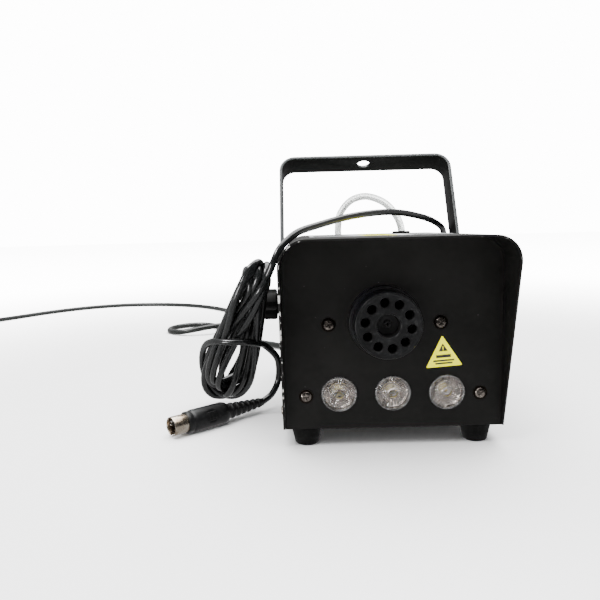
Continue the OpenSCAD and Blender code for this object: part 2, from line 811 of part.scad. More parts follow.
module handset_lamp() {
    color("#37a646") translate([handset_x + 20, handset_y, handset_h - 6]) union() {
        cylinder(r = 2.5, h = 6);
        translate([0, 0, 6]) sphere(r = 2.5);
    }
}

// ---------- leads, hank, coil and plugs ----------

module remote_cord() {
    color("#0e0f10") union() {
        lead(remote_route, remote_d, 2, 10);
        lead(remote_tail, remote_d, 2, 10);
    }
}

module remote_hank() {
    color("#101113") translate(hank_base) rotate(hank_turn) translate([0, hank_t / 2, 0]) rotate([90, 0, 0])
        linear_extrude(hank_t) hull() {
            circle(r = hank_bottom_r);
            translate([0, hank_reach]) circle(r = hank_top_r);
        }
}

module at_din() {
    translate(din_tip) rotate([0, 0, din_turn]) children();
}

module remote_plug() {
    grip_end = din_shell_l + din_grip_l;
    color("#121314") at_din() difference() {
        union() {
            rod_x(din_r - 0.4, din_shell_l, din_shell_l + 4);
            rod_x(din_r, din_shell_l + 4, grip_end - 3);
            rod_x(din_r - 1, grip_end - 3, grip_end);
            translate([grip_end, 0, 0]) rotate([0, 90, 0])
                cylinder(r1 = 5.4, r2 = remote_d / 2 + 0.6, h = din_boot_end - grip_end);
            for (k = [0 : 4]) rod_x(5.9 - 0.45 * k, grip_end + 3 + 6 * k, grip_end + 6 + 6 * k);
        }
        for (side = [-1, 1]) translate([din_shell_l + 18, 0, side * (din_r + 10.8)])
            rotate([90, 0, 0]) cylinder(r = 12, h = 20, center = true);
    }
}

module plug_shell() {
    color("#b9bcbf") at_din() union() {
        difference() {
            rod_x(6.6, 0, din_shell_l);
            rod_x(5.9, -1, din_shell_l - 1.5);
        }
        for (k = [-2 : 2]) rod_x(0.7, 1.5, din_shell_l - 1, 3.6 * sin(k * 45), 3.6 * cos(k * 45));
    }
}

module mains_cord() {
    color("#141517") lead(mains_route, mains_d, 2, 10);
}

module at_plug() {
    translate(plug_end) rotate([0, 0, plug_turn]) children();
}

module mains_plug() {
    color("#16171a") at_plug() union() {
        rotate([0, 90, 0]) cylinder(r1 = mains_d / 2 + 0.6, r2 = 6.4, h = plug_boot_l);
        for (k = [0 : 3]) rod_x(4.6 + 0.6 * k, 2 + 5 * k, 4.6 + 5 * k);
        block([plug_boot_l, -12, -8], [plug_face, 12, 12.5]);
    }
}

module mains_pins() {
    color("#b9bcbf") at_plug() union() {
        for (side = [-1, 1])
            block([plug_face, side * 6.35 - 0.75, -7], [plug_face + 16, side * 6.35 + 0.75, -0.7]);
        rod_x(2.4, plug_face, plug_face + 19, 0, 8);
    }
}

cover();
chassis_pan();
front_panel();
rear_panel();
nozzle_cap();
nozzle_base();
outlet_pipe();
heater_block();
heating_element();
heater_jacket();
heater_brackets();
thermostat();
thermal_fuse();
pump_body();
pump_plunger();
pump_bracket();
delivery_tube();
feed_tube();
tube_grommet();
suction_filter();
tank();
tank_cap();
control_board();
board_relay();
board_transformer();
board_standoffs();
led_board();
led_holders();
lens_left();
lens_middle();
lens_right();
remote_socket();
cord_gland();
switch_body();
switch_rocker();
handle();
knob_left();
knob_right();
handle_washers();
pivot_nuts();
foot_front_left();
foot_front_right();
foot_rear_left();
foot_rear_right();
foot_screws();
front_screws();
cover_screws();
caution_label();
top_label();
handset_lower();
handset_upper();
handset_button();
handset_lamp();
remote_cord();
remote_hank();
remote_plug();
plug_shell();
mains_cord();
mains_plug();
mains_pins();
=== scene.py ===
"""A small stage fog machine with three effect lights, a wired remote and a mains lead.

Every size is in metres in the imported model's own frame: X across the machine, Y from the front to
the back, Z up, and the origin on the floor. The shapes that show get their detail here, and the
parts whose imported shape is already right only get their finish.
"""
import logging
import math
from collections.abc import Callable, Iterable, Sequence
from dataclasses import dataclass, field
from enum import Enum
from itertools import pairwise

import bmesh
import bpy
from mathutils import Euler, Matrix, Vector


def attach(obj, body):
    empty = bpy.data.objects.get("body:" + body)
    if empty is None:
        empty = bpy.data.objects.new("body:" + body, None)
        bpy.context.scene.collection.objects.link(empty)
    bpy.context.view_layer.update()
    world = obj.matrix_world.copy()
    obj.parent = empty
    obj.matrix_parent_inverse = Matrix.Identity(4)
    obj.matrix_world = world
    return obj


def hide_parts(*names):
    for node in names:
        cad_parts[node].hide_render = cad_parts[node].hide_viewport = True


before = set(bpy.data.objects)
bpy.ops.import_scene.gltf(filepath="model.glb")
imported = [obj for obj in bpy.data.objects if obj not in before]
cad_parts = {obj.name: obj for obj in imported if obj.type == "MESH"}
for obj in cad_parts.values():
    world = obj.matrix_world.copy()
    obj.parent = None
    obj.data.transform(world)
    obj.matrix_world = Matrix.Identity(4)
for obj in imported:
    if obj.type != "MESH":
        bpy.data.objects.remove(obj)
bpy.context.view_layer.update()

LOG = logging.getLogger("fog_machine")
MM = 0.001
TINY = 1e-6
Point = tuple[float, float, float]
Colour = tuple[float, float, float]


class Axis(Enum):
    """The direction that a turned or drilled shape runs along, as a turn of the Z axis."""

    X = (0.0, math.pi / 2, 0.0)
    Y = (-math.pi / 2, 0.0, 0.0)
    Z = (0.0, 0.0, 0.0)
    FRONT = (math.pi / 2, 0.0, 0.0)
    LEFT = (0.0, -math.pi / 2, 0.0)


class Body(Enum):
    """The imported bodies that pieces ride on."""

    MACHINE = "machine"
    HANDLE = "handle"
    KNOB_LEFT = "knob_left"
    KNOB_RIGHT = "knob_right"
    TANK_CAP = "tank_cap"
    ROCKER = "rocker"
    BUTTON = "button"


# ---------- finishes ----------

DRAWN: dict[str, bpy.types.Material] = {}


class Board:
    """The node tree of one material while it is being drawn."""

    def __init__(self, name: str) -> None:
        """Start an empty material.

        Args:
            name: the material's name.
        """
        self.material = bpy.data.materials.new(name)
        self.material.use_nodes = True
        self.tree = self.material.node_tree
        self.tree.nodes.clear()

    def add(self, kind: str, inputs: dict | None = None, **settings: object) -> bpy.types.Node:
        """Add one node.

        Args:
            kind: the node's type after "ShaderNode".
            inputs: values or sockets for its inputs, by name or place.
            settings: the node's own settings.

        Returns:
            The node.
        """
        node = self.tree.nodes.new("ShaderNode" + kind)
        for key, value in settings.items():
            setattr(node, key, value)
        for key, value in (inputs or {}).items():
            if isinstance(value, bpy.types.NodeSocket):
                self.tree.links.new(value, node.inputs[key])
            else:
                node.inputs[key].default_value = value
        return node

    def place(self, stretch: Point = (1.0, 1.0, 1.0)) -> bpy.types.NodeSocket:
        """Give the place on the object, stretched for a pattern that has a direction.

        Args:
            stretch: how much each axis is scaled.

        Returns:
            The vector socket.
        """
        spot = self.add("TexCoord").outputs["Object"]
        return self.add("Mapping", {"Vector": spot, "Scale": stretch}).outputs["Vector"]

    def noise(self, spot: bpy.types.NodeSocket, scale: float, detail: float = 4.0) -> bpy.types.NodeSocket:
        """Give a cloudy value from 0 to 1 at spot, with patches of about 1 / scale metres."""
        return self.add("TexNoise", {"Vector": spot, "Scale": scale, "Detail": detail}).outputs["Fac"]

    def span(self, value: bpy.types.NodeSocket, low: float, high: float,
             out: tuple[float, float] = (0.0, 1.0)) -> bpy.types.NodeSocket:
        """Stretch the part of value between low and high to the range out, and hold it beyond."""
        return self.add("MapRange", {"Value": value, "From Min": low, "From Max": high,
                                     "To Min": out[0], "To Max": out[1]}).outputs["Result"]

    def math(self, how: str, a: object, b: object = 0.0) -> bpy.types.NodeSocket:
        """Join two values by the named sum."""
        return self.add("Math", {0: a, 1: b}, operation=how).outputs[0]

    def mix(self, share: object, a: object, b: object) -> bpy.types.NodeSocket:
        """Blend two colours.

        Args:
            share: how much of b shows, from 0 to 1.
            a: a colour or a colour socket.
            b: a colour or a colour socket.

        Returns:
            The blended colour.
        """
        node = self.add("Mix", data_type="RGBA")
        for key, value in (("Factor", share), ("A", a), ("B", b)):
            sockets = [s for s in node.inputs if s.name == key and s.enabled]
            if isinstance(value, bpy.types.NodeSocket):
                self.tree.links.new(value, sockets[0])
            else:
                sockets[0].default_value = (*value, 1.0) if isinstance(value, tuple) else value
        return next(s for s in node.outputs if s.enabled)


@dataclass(frozen=True)
class Finish:
    """A finish with soft changes of colour and shine, and a fine surface grain."""

    name: str
    colour: Colour
    tint: Colour
    rough: tuple[float, float] = (0.35, 0.5)
    cloud: float = 60.0
    grain: float = 900.0
    relief: float = 0.15
    metallic: float = 0.0
    stretch: Point = (1.0, 1.0, 1.0)
    specular: float = 0.5
    coat: float = 0.0
    coat_rough: float = 0.1
    sheen: float = 0.0
    clear: float = 0.0
    ior: float = 1.46
    depth: float = 0.0003
    fuzz: float = 0.0

    def colours(self, board: Board, spot: bpy.types.NodeSocket) -> bpy.types.NodeSocket:
        """Give the colour at each place: the two colours in soft patches.

        Args:
            board: the material being drawn.
            spot: the place on the object.

        Returns:
            The colour socket.
        """
        patch = board.span(board.noise(spot, self.cloud), 0.35, 0.65)
        return board.mix(patch, self.colour, self.tint)

    def relief_of(self, board: Board, spot: bpy.types.NodeSocket) -> bpy.types.NodeSocket:
        """Give the height of the surface grain at spot."""
        return board.noise(spot, self.grain, 3.0)

    def material(self) -> bpy.types.Material:
        """Draw the finish's material once and give it to every piece that asks.

        Returns:
            The material.
        """
        if self.name in DRAWN:
            return DRAWN[self.name]
        board = Board(f"{self.name}_finish")
        DRAWN[self.name] = board.material
        spot = board.place(self.stretch)
        shine = board.span(board.noise(spot, self.cloud * 2.3), 0.3, 0.7, self.rough)
        bump = board.add("Bump", {"Height": self.relief_of(board, spot), "Strength": self.relief,
                                  "Distance": self.depth})
        shader = board.add("BsdfPrincipled", {
            "Base Color": self.colours(board, spot), "Roughness": shine, "Normal": bump.outputs[0],
            "Metallic": self.metallic, "Specular IOR Level": self.specular, "Coat Weight": self.coat,
            "Coat Roughness": self.coat_rough, "Sheen Weight": self.sheen,
            "Transmission Weight": self.clear, "IOR": self.ior, "Subsurface Weight": self.fuzz,
        })
        shader.inputs["Subsurface Radius"].default_value = (0.004, 0.004, 0.004)
        out = board.add("OutputMaterial")
        board.tree.links.new(shader.outputs[0], out.inputs[0])
        return board.material

    def dress(self, piece: bpy.types.Object) -> bpy.types.Object:
        """Put the finish on a whole piece.

        Args:
            piece: a mesh or curve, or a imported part.

        Returns:
            The same piece.
        """
        made = self.material()
        if not piece.data.materials:
            piece.data.materials.append(made)
        for holder in piece.material_slots:
            holder.material = made
        return piece


@dataclass(frozen=True)
class Powder(Finish):
    """Fine textured powder coat with a scatter of dust specks and light rub marks."""

    pebble: float = 1500.0

    def colours(self, board: Board, spot: bpy.types.NodeSocket) -> bpy.types.NodeSocket:
        """Give the coat's colour with dust specks over it."""
        coat = super().colours(board, spot)
        dust = board.span(board.noise(spot, 420.0, 2.0), 0.77, 0.82, (0.0, 0.35))
        return board.mix(dust, coat, (0.16, 0.155, 0.15))

    def relief_of(self, board: Board, spot: bpy.types.NodeSocket) -> bpy.types.NodeSocket:
        """Give the pebbled height of the coat."""
        cells = board.add("TexVoronoi", {"Vector": spot, "Scale": self.pebble}, feature="SMOOTH_F1")
        return board.math("ADD", cells.outputs["Distance"], board.noise(spot, self.grain, 2.0))


@dataclass(frozen=True)
class ChippedPaint(Powder):
    """Powder coat that is worn to bare metal along the hood's front edges and lower corners."""

    front_y: float = -0.121
    half_w: float = 0.07
    top_z: float = 0.1335

    def colours(self, board: Board, spot: bpy.types.NodeSocket) -> bpy.types.NodeSocket:
        """Give the coat's colour with paint chips near the open edges of the hood."""
        coat = super().colours(board, spot)
        parts = board.add("SeparateXYZ", {"Vector": spot}).outputs
        lean = (0.152 - 0.121) / (self.top_z - 0.0125)
        edge_y = board.math("SUBTRACT", self.front_y + lean * 0.0125,
                            board.math("MULTIPLY", parts["Z"], lean))
        back = board.math("SUBTRACT", parts["Y"], edge_y)
        rim = board.span(back, 0.0004, 0.0024, (1.0, 0.0))
        left = board.span(parts["X"], -0.066, -0.048, (1.0, 0.3))
        corner = board.math("MULTIPLY", board.span(parts["Z"], 0.026, 0.034, (1.0, 0.0)),
                            board.span(back, 0.008, 0.016, (0.95, 0.0)))
        wear = board.math("MULTIPLY", board.math("MAXIMUM", rim, corner), left)
        ragged = board.math("ADD", board.noise(spot, 330.0, 6.0), board.math("MULTIPLY", wear, 0.13))
        flakes = board.math("MULTIPLY", board.span(ragged, 0.685, 0.71), board.span(wear, 0.25, 0.6))
        return board.mix(flakes, coat, (0.30, 0.295, 0.285))


@dataclass(frozen=True)
class Brushed(Finish):
    """Metal with fine lines along one way and a few stains."""

    def relief_of(self, board: Board, spot: bpy.types.NodeSocket) -> bpy.types.NodeSocket:
        """Give the height of the brush lines."""
        return board.noise(spot, self.grain * 2.0, 6.0)


@dataclass(frozen=True)
class Woven(Finish):
    """Glass wool and other matted fibres."""

    def relief_of(self, board: Board, spot: bpy.types.NodeSocket) -> bpy.types.NodeSocket:
        """Give the height of the crossing fibres."""
        wave = board.add("TexWave", {"Vector": spot, "Scale": self.grain, "Distortion": 9.0, "Detail": 4.0})
        return board.math("ADD", wave.outputs["Fac"], board.noise(spot, self.grain * 2.0, 5.0))


@dataclass(frozen=True)
class Moulded(Finish):
    """Black plastic or rubber that picks up greasy smears, with glossier and duller patches."""

    def colours(self, board: Board, spot: bpy.types.NodeSocket) -> bpy.types.NodeSocket:
        """Give the plastic's colour with faint grey smears."""
        base = super().colours(board, spot)
        smear = board.span(board.noise(spot, self.cloud * 6.0, 7.0), 0.58, 0.75, (0.0, 0.4))
        return board.mix(smear, base, tuple(min(1.0, c * 2.2 + 0.01) for c in self.tint))


BLACK_COAT = ChippedPaint("hood_powder_coat", (0.0036, 0.0034, 0.0031), (0.0052, 0.0049, 0.0045),
                          (0.44, 0.54), 45.0, 2600.0, 0.22, depth=0.00008, specular=0.2)
PANEL_COAT = Powder("panel_powder_coat", (0.0040, 0.0037, 0.0032), (0.0056, 0.0052, 0.0046),
                    (0.46, 0.56), 38.0, 2600.0, 0.25, depth=0.00008, specular=0.2)
ZINC = Brushed("zinc_sheet", (0.42, 0.42, 0.43), (0.30, 0.31, 0.33), (0.3, 0.45), 90.0, 700.0, 0.1,
               metallic=1.0, stretch=(1.0, 0.12, 1.0))
CAP_PLASTIC = Moulded("nozzle_plastic", (0.0042, 0.0043, 0.0044), (0.0058, 0.0060, 0.0062),
                      (0.3, 0.4), 70.0, 2400.0, 0.12, depth=0.0001, specular=0.16)
BASE_PLASTIC = Moulded("flange_plastic", (0.0045, 0.0045, 0.0045), (0.0062, 0.0062, 0.0064),
                       (0.36, 0.46), 70.0, 2400.0, 0.12, depth=0.0001, specular=0.12)
BRASS = Brushed("brass", (0.62, 0.44, 0.18), (0.5, 0.33, 0.12), (0.25, 0.42), 120.0, 900.0, 0.1,
                metallic=1.0)
ALUMINIUM = Brushed("aluminium", (0.62, 0.63, 0.64), (0.5, 0.51, 0.52), (0.3, 0.48), 60.0, 600.0, 0.12,
                    metallic=1.0, stretch=(1.0, 0.15, 1.0))
STEEL = Brushed("steel", (0.47, 0.46, 0.45), (0.36, 0.34, 0.32), (0.28, 0.45), 160.0, 1200.0, 0.1,
                metallic=1.0)
GLASS_WOOL = Woven("glass_wool", (0.72, 0.68, 0.56), (0.60, 0.55, 0.43), (0.85, 0.95), 90.0, 300.0, 0.9,
                   sheen=0.4, depth=0.0008)
CERAMIC = Finish("ceramic", (0.72, 0.70, 0.62), (0.62, 0.58, 0.50), (0.35, 0.6), 200.0, 1500.0, 0.1)
PUMP_PLASTIC = Moulded("pump_plastic", (0.60, 0.50, 0.28), (0.52, 0.42, 0.22), (0.35, 0.5), 90.0, 1500.0,
                       0.1)
SILICONE = Finish("silicone_tube", (0.78, 0.80, 0.78), (0.70, 0.72, 0.71), (0.22, 0.34), 80.0, 900.0,
                  0.08, clear=0.55, ior=1.41, fuzz=0.2)
RUBBER = Moulded("rubber", (0.0026, 0.0025, 0.0024), (0.0042, 0.0041, 0.0039), (0.5, 0.66), 120.0, 1800.0,
                 0.3, depth=0.0002, specular=0.1)
TANK_PLASTIC = Finish("tank_plastic", (0.86, 0.87, 0.83), (0.78, 0.80, 0.76), (0.3, 0.42), 40.0, 500.0,
                      0.12, clear=0.35, ior=1.5, fuzz=0.4)
BLACK_PLASTIC = Moulded("black_plastic", (0.006, 0.006, 0.0065), (0.009, 0.009, 0.0095), (0.36, 0.5), 80.0,
                        1900.0, 0.2, depth=0.0001, specular=0.25)
BOARD_GREEN = Finish("board_green", (0.02, 0.13, 0.05), (0.03, 0.17, 0.07), (0.22, 0.35), 150.0, 600.0,
                     0.15, coat=0.4)
RELAY_BLUE = Finish("relay_blue", (0.02, 0.09, 0.33), (0.03, 0.11, 0.38), (0.3, 0.42), 120.0, 1600.0, 0.1)
WINDING_YELLOW = Finish("transformer_yellow", (0.70, 0.50, 0.06), (0.60, 0.42, 0.05), (0.25, 0.4), 200.0,
                        900.0, 0.2)
HOLDER_GREY = Finish("lens_holder", (0.40, 0.41, 0.42), (0.30, 0.31, 0.32), (0.25, 0.4), 150.0, 900.0,
                     0.1, metallic=0.6)
RED_PLASTIC = Finish("red_plastic", (0.50, 0.018, 0.014), (0.42, 0.014, 0.012), (0.25, 0.36), 150.0,
                     1500.0, 0.1, coat=0.3)
SATIN_BLACK = Powder("satin_black", (0.0016, 0.0018, 0.0016), (0.0026, 0.0028, 0.0026), (0.42, 0.52), 50.0,
                     2600.0, 0.16, depth=0.00007, specular=0.05)
# Painted highlight: the handle strip's thin edge faces take a lighter colour for their highlights; their
# higher gloss is real sheen.
EDGE_HIGHLIGHT_PAINT = Powder("painted_highlight_edge", (0.020, 0.023, 0.023), (0.032, 0.036, 0.036), (0.3, 0.4), 50.0, 2600.0,
                    0.12, depth=0.00007, specular=0.5)
NICKEL_DARK = Brushed("black_nickel", (0.022, 0.017, 0.013), (0.010, 0.008, 0.006), (0.3, 0.46), 500.0,
                      1400.0, 0.1, metallic=1.0)
SCREW_NICKEL = Brushed("screw_nickel", (0.34, 0.30, 0.27), (0.08, 0.066, 0.058), (0.18, 0.34), 420.0, 1400.0,
                       0.2, metallic=1.0)
SHELL_NICKEL = Brushed("shell_nickel", (0.46, 0.41, 0.34), (0.20, 0.145, 0.095), (0.18, 0.32), 160.0, 1300.0,
                       0.1, metallic=1.0)
LAMP_GREEN = Finish("lamp_green", (0.05, 0.42, 0.07), (0.04, 0.34, 0.06), (0.12, 0.2), 300.0, 900.0, 0.05,
                    clear=0.4, coat=0.3)
NICKEL = Brushed("nickel", (0.68, 0.68, 0.69), (0.52, 0.50, 0.48), (0.16, 0.3), 260.0, 1300.0, 0.08,
                 metallic=1.0)
CORD_BLACK = Moulded("lead_pvc", (0.0042, 0.0045, 0.0046), (0.0066, 0.0072, 0.0074), (0.16, 0.24), 55.0,
                     1400.0, 0.12, specular=0.5, depth=0.0001)
MAINS_BLACK = Moulded("mains_pvc", (0.0060, 0.0068, 0.0064), (0.0090, 0.0105, 0.0098), (0.24, 0.34), 55.0,
                      1400.0, 0.12, depth=0.0001, specular=0.4)
PLUG_PVC = Moulded("plug_pvc", (0.0030, 0.0031, 0.0032), (0.0046, 0.0047, 0.0050), (0.34, 0.46), 90.0, 1600.0,
                   0.15, depth=0.0001, specular=0.3)
LABEL_YELLOW = Finish("label_yellow", (0.76, 0.73, 0.0), (0.71, 0.68, 0.0), (0.5, 0.6), 120.0, 900.0,
                      0.05, specular=0.02)
LABEL_GREY = Finish("label_grey", (0.50, 0.51, 0.51), (0.44, 0.45, 0.45), (0.36, 0.48), 90.0, 900.0, 0.05,
                    coat=0.2)
INK = Finish("label_ink", (0.014, 0.014, 0.014), (0.02, 0.02, 0.02), (0.35, 0.45), 200.0, 900.0, 0.03)
WHITE_INK = Finish("label_white", (0.84, 0.84, 0.82), (0.8, 0.8, 0.78), (0.35, 0.45), 200.0, 900.0, 0.03)
# Near-black rough finish: on the walls of the nozzle's mouth and air holes it is painted shade; on the
# studio's two cards it gives dark reflections.
SHADE_BLACK = Finish("painted_shade_black", (0.004, 0.004, 0.004), (0.006, 0.006, 0.006), (0.7, 0.85), 90.0, 900.0,
                0.1, specular=0.2)
EMITTER = Finish("emitter_yellow", (0.75, 0.62, 0.25), (0.68, 0.55, 0.2), (0.25, 0.4), 300.0, 900.0, 0.1)


# ---------- bench work ----------


def rest() -> None:
    """Go back to object mode with nothing selected."""
    if bpy.context.object and bpy.context.object.mode != "OBJECT":
        bpy.ops.object.mode_set(mode="OBJECT")
    bpy.ops.object.select_all(action="DESELECT")


def take(piece: bpy.types.Object) -> bpy.types.Object:
    """Make piece the only selected and the active object, and give it back."""
    rest()
    piece.select_set(True)
    bpy.context.view_layer.objects.active = piece
    return piece


def settle(piece: bpy.types.Object) -> bpy.types.Object:
    """Write a piece's place, turn and size into its mesh, and give it back."""
    take(piece)
    bpy.ops.object.transform_apply(location=True, rotation=True, scale=True)
    return piece


def edit(piece: bpy.types.Object, kind: str = "FACE",
         chosen: Callable[[object], bool] | None = None) -> None:
    """Open a piece in edit mode with the chosen faces, edges or vertices selected.

    Args:
        piece: the mesh.
        kind: VERT, EDGE or FACE.
        chosen: says which elements are selected; all of them without it.
    """
    take(piece)
    bpy.ops.object.mode_set(mode="EDIT")
    bpy.ops.mesh.select_mode(type=kind)
    bpy.ops.mesh.select_all(action="SELECT" if chosen is None else "DESELECT")
    if chosen is not None:
        shape = bmesh.from_edit_mesh(piece.data)
        shape.normal_update()
        for part in {"VERT": shape.verts, "EDGE": shape.edges, "FACE": shape.faces}[kind]:
            if chosen(part):
                part.select_set(True)
        bmesh.update_edit_mesh(piece.data)


def clean(piece: bpy.types.Object, near: float = 5 * TINY) -> bpy.types.Object:
    """Merge doubled points, turn all faces outwards and go back to object mode."""
    edit(piece)
    bpy.ops.mesh.remove_doubles(threshold=near)
    bpy.ops.mesh.select_all(action="SELECT")
    bpy.ops.mesh.normals_make_consistent(inside=False)
    rest()
    return piece


def modify(piece: bpy.types.Object, kind: str, **settings: object) -> bpy.types.Object:
    """Add a modifier and apply it.

    Args:
        piece: the mesh.
        kind: the modifier's type.
        settings: its settings.

    Returns:
        The same piece.
    """
    take(piece)
    modifier = piece.modifiers.new(kind.title(), kind)
    for key, value in settings.items():
        setattr(modifier, key, value)
    bpy.ops.object.modifier_apply(modifier=modifier.name)
    return piece


def soften(piece: bpy.types.Object, width: float = 0.3 * MM, steps: int = 2,
           sharp: float = 32.0) -> bpy.types.Object:
    """Round the sharp edges of a piece and shade it smooth.

    Args:
        piece: the mesh.
        width: the rounding's width.
        steps: faces across the rounding.
        sharp: edges sharper than this many degrees are rounded.

    Returns:
        The same piece.
    """
    modify(piece, "BEVEL", width=width, segments=steps, limit_method="ANGLE",
           angle_limit=math.radians(sharp), use_clamp_overlap=True, harden_normals=False)
    take(piece)
    bpy.ops.object.shade_smooth_by_angle(angle=math.radians(sharp))
    return piece


def cut(piece: bpy.types.Object, *tools: bpy.types.Object, how: str = "DIFFERENCE") -> bpy.types.Object:
    """Cut tools out of a piece, or join them to it, and take the tools away.

    Args:
        piece: the mesh that is cut.
        tools: the cutting shapes.
        how: DIFFERENCE, UNION or INTERSECT.

    Returns:
        The same piece.
    """
    for tool in tools:
        modify(piece, "BOOLEAN", operation=how, solver="EXACT", object=tool)
        bpy.data.objects.remove(tool)
    return piece


def joined(first: bpy.types.Object, *others: bpy.types.Object) -> bpy.types.Object:
    """Make several meshes one object, and give it back."""
    take(first)
    for other in others:
        other.select_set(True)
    bpy.ops.object.join()
    return first


def copied(piece: bpy.types.Object, name: str, move: Point = (0.0, 0.0, 0.0),
           turn: Matrix | None = None) -> bpy.types.Object:
    """Copy a piece with a mesh of its own.

    Args:
        piece: the finished mesh.
        name: the copy's name.
        move: how far the copy is moved.
        turn: a placing matrix that is used first.

    Returns:
        The copy.
    """
    twin = piece.copy()
    twin.data = piece.data.copy()
    twin.name = name
    bpy.context.scene.collection.objects.link(twin)
    twin.matrix_world = Matrix.Translation(move) @ (turn or Matrix())
    bpy.context.view_layer.update()
    return settle(twin)


def turned(name: str, place: Point, axis: Axis, outline: Sequence[tuple[float, float]],
           sides: int = 64) -> bpy.types.Object:
    """Turn a shape as on a lathe: a ring is extruded and resized at every step of its outline.

    Args:
        name: the piece's name.
        place: where the outline's height 0 lies on the axis, in metres.
        axis: the way the height grows.
        outline: radius and height of each step in millimetres; a closed outline ends at its start.
        sides: corners of a ring.

    Returns:
        The piece.
    """
    rest()
    steps = [(max(r, 0.0004) * MM, h * MM) for r, h in outline]
    bpy.ops.mesh.primitive_circle_add(vertices=sides, radius=steps[0][0], fill_type="NOTHING",
                                      location=(0.0, 0.0, steps[0][1]))
    piece = settle(bpy.context.object)
    piece.name = name
    edit(piece, "EDGE")
    for (r0, h0), (r1, h1) in pairwise(steps):
        bpy.ops.mesh.extrude_edges_move(TRANSFORM_OT_translate={"value": (0.0, 0.0, h1 - h0)})
        if abs(r1 - r0) > 1e-9:
            bpy.ops.transform.resize(value=(r1 / r0, r1 / r0, 1.0), center_override=(0.0, 0.0, h1))
    clean(piece, 4 * TINY)
    piece.rotation_euler = axis.value
    piece.location = place
    return settle(piece)


def bar(name: str, low: Point, high: Point, corner: float = 0.0, along: str = "Z",
        steps: int = 6) -> bpy.types.Object:
    """Make a block and round the four edges that run along one axis.

    Args:
        name: the piece's name.
        low: its low corner in millimetres.
        high: its high corner in millimetres.
        corner: the radius of the rounded edges in millimetres.
        along: the axis that the rounded edges follow.
        steps: faces across a rounded edge.

    Returns:
        The piece.
    """
    rest()
    size = (Vector(high) - Vector(low)) * MM
    middle = (Vector(high) + Vector(low)) * MM / 2
    bpy.ops.mesh.primitive_cube_add(size=1.0, location=middle, scale=size)
    piece = settle(bpy.context.object)
    piece.name = name
    if corner > 0.0:
        way = Vector([float(c == along) for c in "XYZ"])
        edit(piece, "EDGE", lambda e: abs((e.verts[0].co - e.verts[1].co).normalized().dot(way)) > 0.99)
        bpy.ops.mesh.bevel(offset=corner * MM, segments=steps, affect="EDGES")
        rest()
    return piece


def rod(name: str, place: Point, axis: Axis, radius: float, length: float,
        sides: int = 32) -> bpy.types.Object:
    """Make a round tool or pin from place along axis, all in millimetres."""
    return turned(name, tuple(c * MM for c in place), axis,
                  [(0.0, 0.0), (radius, 0.0), (radius, length), (0.0, length)], sides)


def touch_up(piece: bpy.types.Object, finish: Finish, chosen: Callable[[object], bool]) -> bpy.types.Object:
    """Put a second finish on the chosen faces of a dressed piece.

    Args:
        piece: the mesh, dressed already.
        finish: the finish of the chosen faces.
        chosen: says which faces take it.

    Returns:
        The same piece.
    """
    piece.data.materials.append(finish.material())
    edit(piece, "FACE", chosen)
    piece.active_material_index = len(piece.material_slots) - 1
    bpy.ops.object.material_slot_assign()
    rest()
    return piece


def own(piece: bpy.types.Object, body: Body, finish: Finish, slot: str, *nodes: str) -> bpy.types.Object:
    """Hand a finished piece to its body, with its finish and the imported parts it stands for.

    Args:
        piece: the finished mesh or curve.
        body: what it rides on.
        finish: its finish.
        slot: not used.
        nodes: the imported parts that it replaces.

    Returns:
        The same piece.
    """
    if not piece.data.materials:
        finish.dress(piece)
    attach(piece, body.value)
    if nodes:
        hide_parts(*nodes)
    LOG.info("%s rides on %s", piece.name, body.value)
    return piece


# ---------- studio ----------


